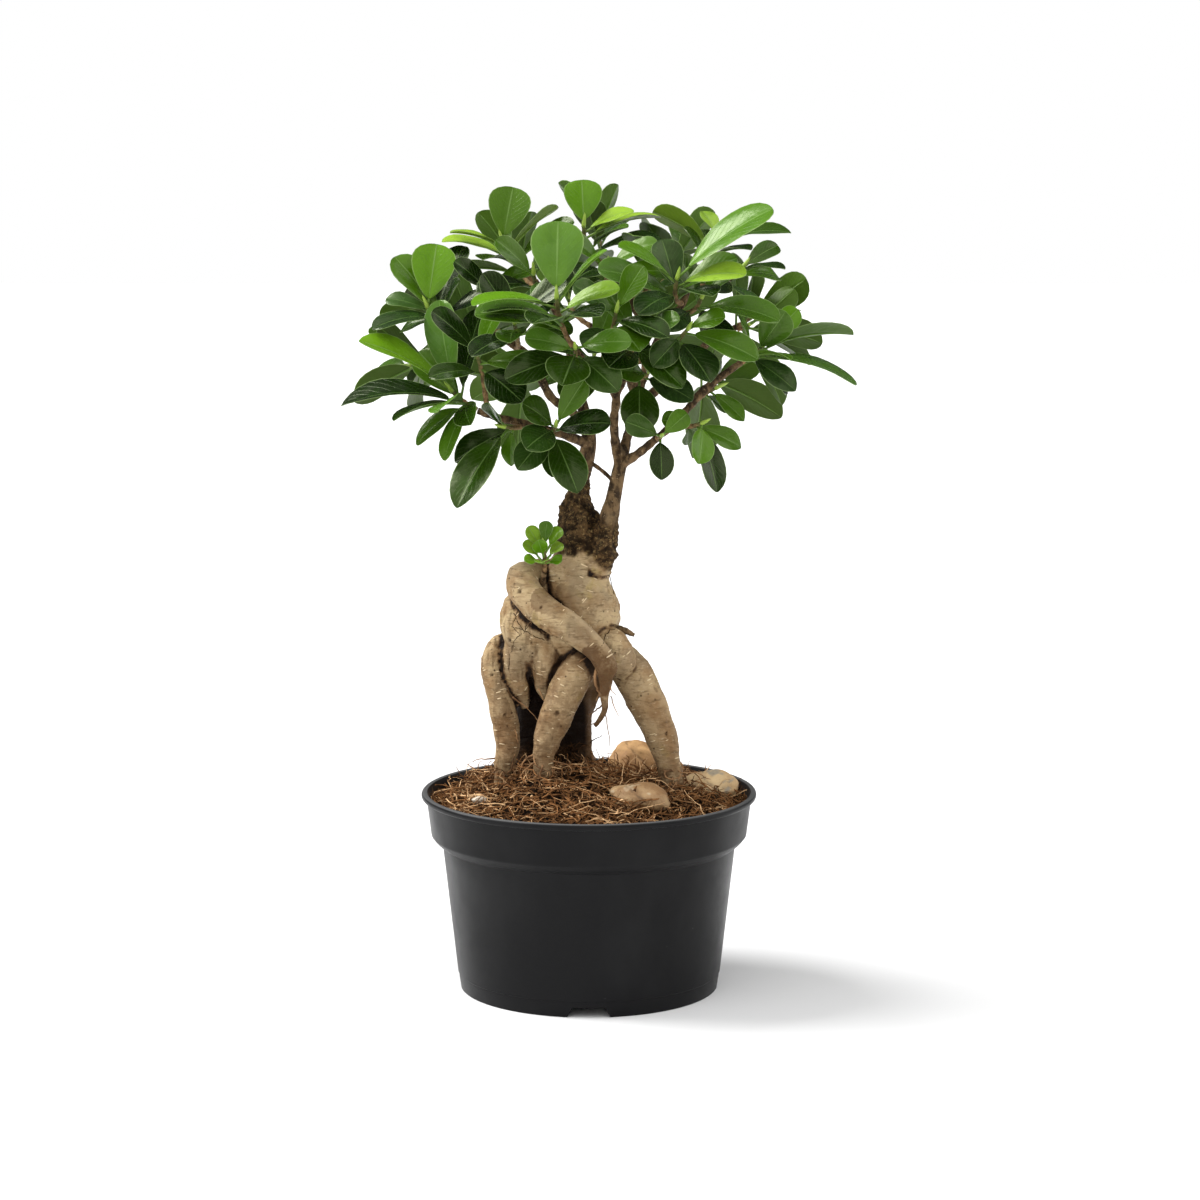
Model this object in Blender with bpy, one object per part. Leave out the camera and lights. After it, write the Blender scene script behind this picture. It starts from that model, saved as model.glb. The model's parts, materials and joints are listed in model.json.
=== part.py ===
"""A ginseng ficus in a round nursery pot, modelled at its real size.

Sizes and places are in millimetres from the centre of the pot's foot, on the surface that the pot
stands on, and become metres as each mesh is made. +Z is up and -Y is the front. At the end the
whole plant moves a little sideways, so that the origin is under the middle of its bounding box.

Every piece is its own object: the pot, the soil, the stones, the woody plant (roots, trunk and
boughs grown as one) and each leafy shoot, whose twig ends just short of the side of its bough.
"""

import math

import bmesh
import bpy
from mathutils import Matrix, Vector, noise
from mathutils.bvhtree import BVHTree

MM = 0.001
GAP = 0.3  # clearance where two pieces touch

# Pot
RIM_RADIUS = 95.0
POT_HEIGHT = 113.0
FOOT_RADIUS = 73.4
COLLAR_TOP_RADIUS = 92.0
COLLAR_LOW_RADIUS = 89.5
COLLAR_LOW_Z = 88.5
WAIST_RADIUS = 83.1
WAIST_Z = 82.5
WALL = 1.6
BASE_LOW_Z = 6.2
BASE_TOP_Z = 8.0
TURNED_SIDES = 32
NOTCH_COUNT = 4
NOTCH_TOP_WIDTH = 17.5
NOTCH_LOW_WIDTH = 24.0
NOTCH_HEIGHT = 5.8
DRAIN_COUNT = 6
DRAIN_RADIUS = 5.0
DRAIN_CIRCLE = 48.0

# Soil
SOIL_EDGE_Z = 107.5
SOIL_RISE = 8.0
SOIL_FLAT_RADIUS = 45.0
SOIL_RINGS = (18.0, 38.0, 57.0, 75.0)

# Roots stand in the soil down to this height
ROOT_END_Z = 96.0
HOLE_CLEARANCE = 1.3
HOLE_SIDES = 8
HOLE_GROWTH = 1 / math.cos(math.pi / HOLE_SIDES)

# Woody plant: stations of x, y, z and radius along each root, trunk and bough
ROOTS = {
    "body": [(-3, 6, 246, 12), (-8, 5, 236, 15.4), (-7, 4, 227, 18.8), (-6, 4, 214, 22.4), (-10, 4, 203, 22),
             (-13, 5, 192, 16), (-14, 7, 184, 10), (-14, 9, 177, 5)],
    "left_body": [(-27, 5, 236, 6.5), (-29, 3, 228, 11), (-32, 1, 218, 15), (-33, -1, 207, 16.5),
                  (-33, -1, 198, 14), (-33, 0, 191, 11), (-33, 1, 184, 7.5), (-32, 3, 177, 4)],
    "left_lobe": [(-37, -2, 202, 10.5), (-40, -2, 188, 8.2), (-40, 0, 176, 7.2), (-37, 4, 163, 4.4)],
    "middle_lobe": [(-24, -5, 200, 10), (-24, -6, 187, 8.5), (-24, -2, 174, 6.2), (-22, 3, 163, 3.2)],
    "far_left_leg": [(-43, 8, 199, 4.4), (-51, 6, 195, 5.8), (-54, 3, 187, 6.4), (-53, 0, 176, 6.4),
                     (-50, -2, 165, 7), (-47, -3, 152, 7.2), (-46, -4, 140, 6.6), (-48, -5, 128, 5.2),
                     (-49, -6, 116, 4), (-49, -6, 104, 3.4), (-49, -6, 90, 3)],
    "crossing_arm": [(-12, 10, 234, 6.5), (-21, 9, 236, 7.2), (-29, 4, 236, 8), (-37, -7, 235, 8.4),
                     (-35, -15, 228, 8.8), (-28, -21, 221, 8.7),
                     (-19, -26, 215, 8.2), (-10, -29, 209, 7), (-2, -30, 203, 6), (5, -30, 196, 5.4),
                     (9, -30, 188, 4.8), (9.5, -29.5, 180, 3.6), (8.6, -28.5, 171.5, 2.4), (9, -27, 164.5, 1.8),
                     (6.8, -25, 159, 1.6), (3.4, -22, 153.5, 1.3)],
    "haunch": [(0, -5, 203, 6), (6, -8, 201, 8), (13, -11, 197, 9.4), (16, -10, 191, 9.4), (18, -6, 186, 8),
               (18, -3, 180, 5.5)],
    "front_leg": [(5, -8, 196, 8), (-1, -13, 190, 9), (-8, -17, 181, 9.4), (-14, -20, 171, 9.4),
                  (-18, -22, 160, 8.8), (-22, -22, 149, 7.4), (-25, -21, 138, 6), (-26, -20, 126, 4.8),
                  (-27, -20, 113, 3.8), (-27, -20, 90, 3.4)],
    "right_leg": [(4, 8, 207, 5), (10, 8, 199, 7.2), (15, 6, 191, 8.8), (22, 3, 183, 10),
                  (27.5, 1, 174, 10.5), (32.8, 0, 163, 10.2),
                  (37.8, -1, 152, 9.4), (41.6, -2, 141, 8.2), (44.5, -3, 131, 7.1), (47, -4, 120, 6.1),
                  (49, -4, 108, 5), (49, -4, 90, 4.4)],
    "back_centre_leg": [(-2, 6, 197, 7), (-3, 10, 183, 8.4), (-5, 14, 168, 7), (-5.5, 16, 153, 6.6),
                        (-5, 18, 138, 6.2), (-3, 18, 125, 5.2), (-1.5, 18, 111, 4.4), (-1.5, 18, 90, 3.8)],
    "back_left_leg": [(-11, 6, 200, 6), (-12, 10, 188, 8), (-13, 14, 174, 8), (-15, 18, 156, 7.6),
                      (-17, 20, 139, 6.6), (-17, 22, 126, 6), (-17, 22, 112, 5.5), (-17, 22, 90, 5)],
    "shaded_leg": [(-20, 6, 206, 6), (-24, 9, 195, 8), (-28, 12, 183, 9), (-34, 20, 158, 9),
                   (-35, 22, 139, 8.2), (-36, 22, 122, 7), (-36, 22, 107, 6), (-36, 22, 90, 5.4)],
    "back_bulge": [(-3, 11, 225, 7), (-1, 16, 217, 11.5), (0, 20, 208, 14), (-4, 24, 194, 13),
                   (2, 23, 180, 9.5), (1, 17, 164, 7)],
    "graft_knob": [(-4, 5, 231, 10), (0, 6, 240, 12.5), (-2, 6, 249, 13.5), (-5, 6, 259, 12.6), (-6, 7, 267, 11.2),
                   (-7, 8, 275, 8.2), (-6, 9, 283, 5.8)],
    "graft_side": [(-2, 3, 229, 6), (2, 1, 238, 7.6), (6, -1, 247, 8.7), (8.5, -3, 256, 7.6), (10.5, -4, 265, 6),
                   (13, -4, 276, 4.6)],
}
LEGS = ("far_left_leg", "front_leg", "right_leg", "back_centre_leg", "back_left_leg", "shaded_leg")
BOUGHS = {
    "left_stem": [(-6, 8, 272, 6), (-6, 9, 282, 5.6), (-4, 10, 291, 4.9), (-1, 10, 303, 4.4), (0, 10, 313, 3.9),
                  (-3, 12, 328, 3.2), (-7, 14, 342, 2.8), (-11, 16, 361, 2.4), (-18, 16, 382, 2.1),
                  (-30, 12, 400, 1.8)],
    "right_stem": [(11, -4, 268, 5), (13, -4, 276, 4.3), (15, -4, 286, 3.9), (16.5, -5, 294, 3.7),
                   (17.5, -5, 300, 3.5), (15, -7, 310, 2.8), (14, -10, 324, 2.5), (15, -13, 338, 2.7),
                   (8, -18, 346, 2.2), (1, -25, 354, 2), (-8, -38, 366, 1.8)],
    "middle_bough": [(18, -4, 298, 3.3), (21, 0, 312, 2.8), (25, 4, 326, 2.6), (28, 8, 339, 2.6),
                     (32, 12, 353, 2.6), (30, 19, 374, 2.2), (20, 22, 394, 2), (8, 18, 408, 1.8)],
    "east_bough": [(33, 13, 355, 2.4), (42, 5, 374, 2.1), (52, -2, 388, 1.9), (56, 12, 399, 1.8)],
    "right_bough": [(17, -4, 298, 3), (28, -12, 306, 2.4), (37, -17, 314, 2.2), (46, -20, 322, 2.1),
                    (56, -22, 333, 2.2), (63, -22, 341, 2.4), (72, -18, 348, 2), (84, -12, 356, 1.8)],
    "front_spur": [(15, -13, 338, 2), (20, -18, 348, 1.8), (23, -26, 358, 1.5)],
    "north_west_bough": [(-2, 10, 318, 3), (-10, 4, 328, 2.6), (-21, 0, 336, 2.4), (-29, -3, 351, 2.2),
                         (-40, -6, 364, 2), (-57, -6, 373, 1.9), (-74, -6, 378, 1.7)],
    "low_west_bough": [(0, 8, 309, 3), (-16, -3, 316, 2.5), (-35, -12, 322, 2.3), (-50, -17, 326, 2.1),
                       (-61, -20, 330, 1.9)],
    "back_west_bough": [(-5, 12, 334, 2.8), (-18, 24, 346, 2.5), (-36, 38, 358, 2.2), (-52, 48, 370, 1.8)],
    "back_bough": [(27, 7, 334, 2.9), (22, 22, 346, 2.5), (10, 38, 358, 2.2), (2, 54, 372, 1.8)],
    "back_east_bough": [(26, 5, 330, 2.8), (42, 16, 342, 2.5), (58, 30, 354, 2.2), (70, 40, 366, 2),
                        (84, 36, 373, 1.7)],
    "cross_twig": [(-1, 9, 300, 1.2), (8, 3, 294, 1.1), (16, -3, 287, 1.2)],
    "sprout_stem": [(-27, -4, 226, 2), (-25, -12, 238, 1.5)],
    "waist_stub": [(13, -6, 207, 2.4), (20, -8, 205.5, 2), (25.5, -9, 203, 1)],
}
TWIG_SIDES = 5
TWIG_REACHES = (18.0, 25.0, 32.0, 40.0, 50.0, 12.0)
TWIG_RADIUS = 1.7
TWIG_END_RADIUS = 1.1
BUD_LENGTH = 9.0

# Leafy shoots. "at" is the growing tip and "axis" its direction. A leaf is the reach of its tip from
# the growing tip (x, y, z), its width and, where it needs one, its turn about its own length in degrees.
SHOOTS = {
    "west_low": {"at": (-75, -24, 341), "axis": (-0.55, -0.5, 0.65), "leaves": [
        (-20, 4, -30, 14), (-10, 4, -36, 12), (-32, -12, -15, 14, 20), (-60, -8, -19, 16, 25),
        (-10, -32, -10, 17), (11, -28, -16, 16), (-30, 17, 8, 14), (24, -6, 42, 14), (-7, 6, 50, 22),
        (-51, -4, 28, 15, 38)]},
    "west_up": {"at": (-89, -8, 386), "axis": (-0.35, -0.45, 0.8), "leaves": [
        (-16, 14, -14, 13), (33, -6, 7, 15), (-31, -10, -3, 13), (22, -12, 12, 15), (-29, -2, 17, 14, 15),
        (24, 14, 33, 14), (-20, 12, 9, 11), (5, 5, 35, 25, 36)]},
    "north_west": {"at": (-48, 8, 421), "axis": (-0.25, -0.4, 0.85), "leaves": [
        (-10, -28, -8, 19), (40, -2, 12, 16), (-34, 5, 1, 13, 15), (31, 10, 20, 11, -45), (-29, -5, 6, 10, 20),
        (6, 4, 31, 24, 34)]},
    "front_top": {"at": (-17, -66, 394), "axis": (-0.05, -0.5, 0.85), "leaves": [
        (-44, 2, -9, 14), (-12, -26, -12, 17), (24, -22, -8, 15), (-33, -18, -16, 16, 15), (31, -13, -3, 13),
        (-45, -11, -3, 12, 20), (27, -9, 26, 13, -25), (1, 6, 41, 29)]},
    "top": {"at": (-3, 12, 430), "axis": (0.05, -0.35, 0.9), "leaves": [
        (44, 2, -8, 13), (24, -16, 0, 15), (-26, -8, -3, 15), (45, -6, -3, 10, -18), (28, 6, 9, 12),
        (-1, 4, 26, 22)]},
    "east_top": {"at": (48, -34, 403), "axis": (0.15, -0.55, 0.8), "leaves": [
        (-43, -3, 5, 14), (3, -27, -8, 20), (-30, -14, -12, 16), (34, 2, 8, 14), (-8, 12, 21, 20),
        (37, -16, 3, 12), (-32, -14, 18, 13, 12), (52, -4, 38, 19, -16)]},
    "north_east": {"at": (73, 32, 423), "axis": (0.2, -0.25, 0.9), "leaves": [
        (-20, -8, 6, 18), (-8, 28, 4, 15), (18, -14, -6, 14), (-37, 6, 15, 12, 60), (41, 0, 3, 10),
        (-9, 6, 15, 14)]},
    "east_mid": {"at": (85, 8, 407), "axis": (0.5, -0.3, 0.75), "leaves": [
        (10, -12, -22, 14), (-16, -18, -12, 15), (22, 22, -6, 14), (24, -8, 0, 12), (27, 2, 4, 12)]},
    "east_low": {"at": (96, -10, 365), "axis": (0.6, -0.4, 0.65), "leaves": [
        (14, 2, -27, 15), (22, -4, -22, 11, 40), (14, -20, -6, 14), (-14, -14, 18, 16), (52, -7, -21, 13, -16),
        (51, 6, 6, 12, -60), (12, -14, 20, 19), (20, 8, 20, 11)]},
    "east_droop": {"at": (62, -30, 324), "axis": (0.45, -0.55, 0.3), "leaves": [
        (-12, 6, -12, 12), (-22, -4, 2, 12), (22, 6, -14, 13), (17, 0, -35, 14), (-2, -14, -21, 16)]},
    "east_hook": {"at": (70, -14, 342), "axis": (0.7, -0.3, 0.3), "leaves": [
        (6, 6, -14, 10), (16, -2, -18, 11, 30), (-6, -12, 10, 16)]},
    "low_oval": {"at": (40, -38, 318), "axis": (0.1, -0.8, 0.2), "leaves": [
        (0, -4, -24, 14), (-20, -4, 8, 13), (14, 2, 12, 12)]},
    "low_centre": {"at": (-18, -34, 323), "axis": (0.1, -0.75, 0.5), "leaves": [
        (-21, -2, -24, 18), (-2, 6, -29, 9), (12, -10, -36, 21), (30, -8, 2, 14), (-16, -18, -11, 20),
        (-18, -8, 13, 17), (16, -6, 26, 15)]},
    "west_droop": {"at": (-46, -28, 322), "axis": (-0.5, -0.6, 0.2), "leaves": [
        (-28, 6, -20, 13), (6, 2, -22, 12), (-26, -18, -43, 21), (-8, -14, 14, 14)]},
    "front_mid": {"at": (-7, -58, 367), "axis": (0.0, -0.8, 0.5), "leaves": [
        (-38, 2, -17, 15), (23, -6, -23, 20), (-7, -14, -19, 25), (-27, -10, 6, 14), (30, -12, 4, 15)]},
    "front_east": {"at": (25, -36, 371), "axis": (0.2, -0.7, 0.6), "leaves": [
        (-14, -26, -14, 22), (26, -14, -26, 21), (24, -14, 18, 16), (-24, -12, 21, 17)]},
    "east_front": {"at": (54, -38, 376), "axis": (0.3, -0.65, 0.55), "leaves": [
        (12, -12, -28, 23), (-16, -10, -22, 16), (38, -8, -16, 14), (20, -12, 7, 14)]},
    "west_mid": {"at": (-61, -32, 362), "axis": (-0.2, -0.6, 0.7), "leaves": [
        (-28, 0, -7, 15), (21, -12, -28, 22), (35, -7, -7, 17), (14, -9, 28, 16), (-24, -12, 24, 16)]},
    "front_west": {"at": (-40, -44, 379), "axis": (-0.15, -0.6, 0.75), "leaves": [
        (-33, -7, -9, 16), (26, -7, -17, 16), (9, -26, 0, 17), (-17, -5, 28, 17), (28, -2, 24, 16)]},
    "mid_top": {"at": (10, -14, 408), "axis": (0.05, -0.55, 0.8), "leaves": [
        (-31, -9, -12, 17), (35, -12, -14, 17), (0, -33, -7, 17), (-24, -9, 19, 16), (28, -7, 14, 15)]},
    "centre": {"at": (3, -8, 360), "axis": (0.1, -0.45, 0.7), "leaves": [
        (-28, 9, -24, 18), (12, -24, -28, 21), (35, -9, -2, 20), (-31, -17, 7, 20), (14, -9, 38, 20)]},
    "mid_front": {"at": (15, -48, 386), "axis": (0.1, -0.6, 0.7), "leaves": [
        (-19, -12, -19, 20), (12, -12, -28, 24), (33, -9, -7, 17), (-24, -7, 12, 17), (15, -5, 25, 16)]},
    "east_inner": {"at": (62, -20, 392), "axis": (0.2, -0.5, 0.75), "leaves": [
        (-21, -12, -17, 18), (42, -9, -19, 16), (14, -17, -24, 21), (-17, -9, 19, 17), (19, 2, 21, 16)]},
    "west_inner": {"at": (-30, -22, 405), "axis": (-0.1, -0.55, 0.8), "leaves": [
        (-31, -7, -9, 17), (24, -14, -14, 18), (-7, -21, -17, 20), (-21, -2, 19, 16), (19, 2, 20, 16)]},
    "west_centre": {"at": (-54, -14, 396), "axis": (-0.2, -0.5, 0.8), "leaves": [
        (-28, -8, -12, 17), (24, -12, -16, 18), (-6, -22, -16, 19), (-20, -2, 16, 15), (18, 4, 20, 15)]},
    "east_centre": {"at": (33, -26, 352), "axis": (0.1, -0.7, 0.45), "leaves": [
        (5, -9, -33, 22), (24, -9, -15, 17), (-19, -9, 9, 17), (17, -5, 24, 17)]},
    "sprout": {"at": (-25, -15, 252), "axis": (-0.1, -0.45, 0.7), "leaves": [
        (-11, -1, -6, 9), (10, -2, -6, 9), (-1, -9, -6, 9), (-13, 1, 2, 8.5), (12, 3, 1, 9),
        (-4, -7, 7, 9), (-9, 1, 13, 9), (10, 1, 12, 9.5), (3, 3, 16, 8.5), (-2, 9, 8, 8)]},
}
# Shoots at the back and inside the crown, where leaves follow the spiral rule alone
SPIRAL_SHOOTS = {
    "back_west_top": ((-42, 40, 410), (-0.4, 0.3, 0.85)),
    "back_top": ((6, 46, 424), (0.0, 0.35, 0.9)),
    "back_east_top": ((50, 54, 410), (0.35, 0.4, 0.8)),
    "back_west": ((-84, 36, 382), (-0.75, 0.35, 0.5)),
    "back_far_west": ((-66, 68, 366), (-0.55, 0.7, 0.45)),
    "back_low_west": ((-42, 60, 342), (-0.4, 0.8, 0.1)),
    "back": ((-12, 78, 386), (-0.1, 0.8, 0.6)),
    "back_east": ((44, 76, 372), (0.4, 0.75, 0.5)),
    "back_far_east": ((94, 52, 378), (0.8, 0.4, 0.45)),
    "back_low_east": ((72, 54, 342), (0.6, 0.65, 0.1)),
    "east_back": ((90, 34, 374), (0.7, 0.5, 0.3)),
    "inner_east": ((34, 14, 404), (0.1, -0.1, 0.9)),
    "west_back": ((-100, 24, 352), (-0.8, 0.5, 0.05)),
}
# Shoots whose large leaves show on the outline have one more row of corners in each leaf
BROAD_SHOOTS = ("west_low", "west_up", "north_west", "front_top", "top", "east_top")
SPIRAL_LEAVES = 5
SPIRAL_TURN = math.radians(137.5)
SPIRAL_LENGTH = 45.0
LEAF_SPACING = 3.4
SPROUT_SPACING = 1.5
SLIMMEST = 0.46  # a leaf is at least this wide, as a share of its length
PETIOLE_SHARE = 0.14
SMALL_LEAF = 10.0  # a leaf narrower than this has a longer stalk for its size
SMALL_PETIOLE_SHARE = 0.36
LEAF_THICKNESS = 0.8
PETIOLE_WIDTH = 1.5
LEAF_STATIONS = (0.3, 0.64, 0.91)
PLAIN_LEAF_STATIONS = (0.38, 0.8)
CLEARANCE = 0.6
TURNS = (0, 9, -9, 18, -18, 28, -28, 40, -40)
SHORTENED = (1.0, 0.86, 0.72)

TRUNK_VOXEL = 1.5
ROOT_SWELL = 1.07
TRUNK_TRIANGLES = 1440

STONES = {
    "stone_front": {"at": (28, -43, 117), "size": (17.5, 12, 8.5), "turn": -8, "seed": 3},
    "stone_right": {"at": (70, 8, 113.5), "size": (16, 12, 9), "turn": -14, "seed": 11},
    "stone_back": {"at": (26, 46, 121), "size": (14, 12, 10.5), "turn": 12, "seed": 23},
    "chip": {"at": (-61, -32, 113.5), "size": (4.2, 3, 2.4), "turn": 20, "seed": 31},
}


def clear_scene():
    for obj in list(bpy.data.objects):
        bpy.data.objects.remove(obj, do_unlink=True)


def make_material(name, colour, roughness):
    material = bpy.data.materials.new(name)
    material.use_nodes = True
    shader = material.node_tree.nodes["Principled BSDF"]
    shader.inputs["Base Color"].default_value = (*colour, 1.0)
    shader.inputs["Roughness"].default_value = roughness
    shader.inputs["Metallic"].default_value = 0.0
    return material


def make_object(name, points, faces, material):
    mesh = bpy.data.meshes.new(name)
    mesh.from_pydata([Vector(p) * MM for p in points], [], faces)
    mesh.update()
    obj = bpy.data.objects.new(name, mesh)
    bpy.context.scene.collection.objects.link(obj)
    obj.data.materials.append(material)
    return obj


def evaluated(obj):
    """A plain copy of the mesh that the object's modifiers give."""
    bpy.context.view_layer.update()
    graph = bpy.context.evaluated_depsgraph_get()
    return bpy.data.meshes.new_from_object(obj.evaluated_get(graph))


def apply_modifiers(obj):
    mesh = evaluated(obj)
    obj.modifiers.clear()
    obj.data = mesh


def combine(obj, others, operation):
    """Joins the others to obj, or cuts them from it, with one Boolean on a collection."""
    group = bpy.data.collections.new(obj.name + "_" + operation.lower())
    bpy.context.scene.collection.children.link(group)
    for other in others:
        bpy.context.scene.collection.objects.unlink(other)
        group.objects.link(other)
    modifier = obj.modifiers.new("combine", "BOOLEAN")
    modifier.operation = operation
    modifier.operand_type = "COLLECTION"
    modifier.collection = group
    modifier.solver = "EXACT"
    apply_modifiers(obj)
    for other in others:
        bpy.data.objects.remove(other, do_unlink=True)
    bpy.data.collections.remove(group)


def ring_points(centre, across, up, radius, sides):
    turns = (2 * math.pi * k / sides for k in range(sides))
    return [centre + (across * math.cos(a) + up * math.sin(a)) * radius for a in turns]


def tube_mesh(stations, sides, closing_point=None):
    """Points and faces of a closed tube through (centre, radius) stations, with an optional pointed end."""
    centres = [Vector(s[:3]) for s in stations]
    radii = [s[3] for s in stations]
    points, faces = [], []
    across = None
    for k, centre in enumerate(centres):
        along = (centres[min(k + 1, len(centres) - 1)] - centres[max(k - 1, 0)]).normalized()
        if across is None:
            across = along.orthogonal().normalized()
        across = (across - along * across.dot(along)).normalized()
        points += ring_points(centre, across, along.cross(across), radii[k], sides)
    for k in range(len(centres) - 1):
        low = k * sides
        for j in range(sides):
            a, b = low + j, low + (j + 1) % sides
            faces += [(a, b, b + sides), (a, b + sides, a + sides)]
    last = (len(centres) - 1) * sides
    faces.append(tuple(reversed(range(sides))))
    if closing_point is None:
        faces.append(tuple(range(last, last + sides)))
    else:
        points.append(Vector(closing_point))
        tip = len(points) - 1
        faces += [(last + j, last + (j + 1) % sides, tip) for j in range(sides)]
    return points, faces


def smooth_route(stations, steps):
    """Catmull-Rom points between the stations, radius included."""
    rows = [Vector(s) for s in stations]
    rows = [rows[0] * 2 - rows[1]] + rows + [rows[-1] * 2 - rows[-2]]
    route = []
    for k in range(1, len(rows) - 2):
        a, b, c, d = rows[k - 1:k + 3]
        for j in range(steps):
            t = j / steps
            route.append(0.5 * (2 * b + (c - a) * t + (2 * a - 5 * b + 4 * c - d) * t ** 2
                                + (3 * b - a - 3 * c + d) * t ** 3))
    return route + [rows[-2]]


def turned_mesh(profile, sides):
    """A closed solid turned about Z from a loop of (radius, z), whose points on the axis are single."""
    points, rings = [], []
    for radius, z in profile:
        if radius == 0:
            rings.append([len(points)] * sides)
            points.append(Vector((0, 0, z)))
        else:
            rings.append(list(range(len(points), len(points) + sides)))
            points += ring_points(Vector((0, 0, z)), Vector((1, 0, 0)), Vector((0, 1, 0)), radius, sides)
    faces = []
    for k, ring in enumerate(rings):
        after = rings[(k + 1) % len(rings)]
        for j in range(sides):
            corners = (ring[j], ring[(j + 1) % sides], after[(j + 1) % sides], after[j])
            face = tuple(dict.fromkeys(corners))
            if len(face) > 2:
                faces.append(face)
    return points, faces


def pot_profile():
    """The pot's wall as a loop of (radius, z): up its outside, over the lip and down its inside."""
    outside = [(FOOT_RADIUS, 0), (WAIST_RADIUS, WAIST_Z), (COLLAR_LOW_RADIUS, COLLAR_LOW_Z),
               (COLLAR_TOP_RADIUS, POT_HEIGHT - 4.4),
               (RIM_RADIUS - 0.4, POT_HEIGHT - 2.8), (RIM_RADIUS, POT_HEIGHT - 1.5), (RIM_RADIUS - 1.4, POT_HEIGHT)]
    return outside + [(RIM_RADIUS - 3.2, POT_HEIGHT)] + inner_wall(0) + [
        (0, BASE_TOP_Z), (0, BASE_LOW_Z), (FOOT_RADIUS - 1.2, BASE_LOW_Z), (FOOT_RADIUS - 1.8, 0)]


def inner_wall(gap):
    """The inside of the pot's wall from the top down, moved in by gap."""
    return [(COLLAR_TOP_RADIUS - WALL - gap, POT_HEIGHT - 4.4),
            (COLLAR_LOW_RADIUS - WALL - gap, COLLAR_LOW_Z + 1.2 + gap),
            (WAIST_RADIUS - WALL - gap, WAIST_Z + 1.2 + gap),
            (FOOT_RADIUS - 0.6 - gap, BASE_TOP_Z + gap)]


def make_pot(material):
    pot = make_object("pot", *turned_mesh(pot_profile(), TURNED_SIDES), material)
    cutters = [notch_cutter(k, material) for k in range(NOTCH_COUNT)]
    cutters += [drain_cutter(k, material) for k in range(DRAIN_COUNT)]
    combine(pot, cutters, "DIFFERENCE")
    pot.data.shade_smooth()
    pot.data.set_sharp_from_angle(angle=math.radians(30))


def notch_cutter(k, material):
    """A wedge-sided block that opens the foot ring, so that water runs out."""
    turn = Matrix.Rotation(2 * math.pi * k / NOTCH_COUNT - math.pi / 2, 3, "Z")
    near, far = FOOT_RADIUS - 5, FOOT_RADIUS + 5
    top, low = NOTCH_TOP_WIDTH / 2, NOTCH_LOW_WIDTH / 2
    overrun = low + (low - top) / NOTCH_HEIGHT
    section = [(-overrun, -1), (overrun, -1), (top, NOTCH_HEIGHT), (-top, NOTCH_HEIGHT)]
    points = [turn @ Vector((r, y, z)) for r in (near, far) for y, z in section]
    faces = [(3, 2, 1, 0), (4, 5, 6, 7), (0, 1, 5, 4), (1, 2, 6, 5), (2, 3, 7, 6), (3, 0, 4, 7)]
    return make_object(f"notch_cutter_{k}", points, faces, material)


def drain_cutter(k, material):
    angle = 2 * math.pi * (k + 0.5) / DRAIN_COUNT
    x, y = DRAIN_CIRCLE * math.cos(angle), DRAIN_CIRCLE * math.sin(angle)
    stations = [(x, y, BASE_LOW_Z - 1, DRAIN_RADIUS), (x, y, BASE_TOP_Z + 1, DRAIN_RADIUS)]
    return make_object(f"drain_cutter_{k}", *tube_mesh(stations, 10), material)


def bump(x, y, centre, spread):
    """A round hill of height 1."""
    return math.exp(-((x - centre[0]) ** 2 + (y - centre[1]) ** 2) / (2 * spread ** 2))


def soil_height(x, y):
    """The soil's surface: level inside, falling to the rim, heaped under the front leg and hollow beside it."""
    t = min(max((math.hypot(x, y) - SOIL_FLAT_RADIUS) / SOIL_FLAT_RADIUS, 0), 1)
    level = SOIL_EDGE_Z + SOIL_RISE * (1 - t * t * (3 - 2 * t))
    heap = 11 * bump(x, y, (-18, -10), 28)
    hollows = 6 * bump(x, y, (-62, -16), 10) + 4 * bump(x, y, (38, -58), 7)
    rough = 0.9 * noise.noise(Vector((x, y, 0)) / 9) * (1 - t)
    return level + heap - hollows + rough


def make_soil(material):
    wall = inner_wall(GAP)
    edge_share = (SOIL_EDGE_Z - wall[1][1]) / (wall[0][1] - wall[1][1])
    edge = wall[1][0] + (wall[0][0] - wall[1][0]) * edge_share
    profile = [(edge, SOIL_EDGE_Z)] + wall[1:] + [(0, wall[-1][1]), (0, SOIL_EDGE_Z)]
    profile += [(radius, SOIL_EDGE_Z) for radius in SOIL_RINGS]
    points, faces = turned_mesh(profile[::-1], TURNED_SIDES)
    top = 1 + len(SOIL_RINGS) * TURNED_SIDES
    for k, point in enumerate(points[:top]):
        point.z = soil_height(point.x, point.y)
    soil = make_object("soil", points, faces, material)
    cutters = [root_hole_cutter(name, material) for name in LEGS]
    cutters += [stone_object(f"{name}_dent", stone, material, 2 * GAP) for name, stone in STONES.items()]
    combine(soil, cutters, "DIFFERENCE")


def root_hole_cutter(name, material):
    """A tube round the foot of a root, from just below its flat end to well above the soil."""
    above, foot = ROOTS[name][-3:-1]
    share = (136 - foot[2]) / (above[2] - foot[2])
    top = [foot[i] + (above[i] - foot[i]) * share for i in range(4)]
    low = (foot[0], foot[1], ROOT_END_Z - GAP, foot[3])
    stations = [(x, y, z, (radius + HOLE_CLEARANCE) * HOLE_GROWTH) for x, y, z, radius in (top, foot, low)]
    return make_object(f"{name}_hole", *tube_mesh(stations, HOLE_SIDES), material)


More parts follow.
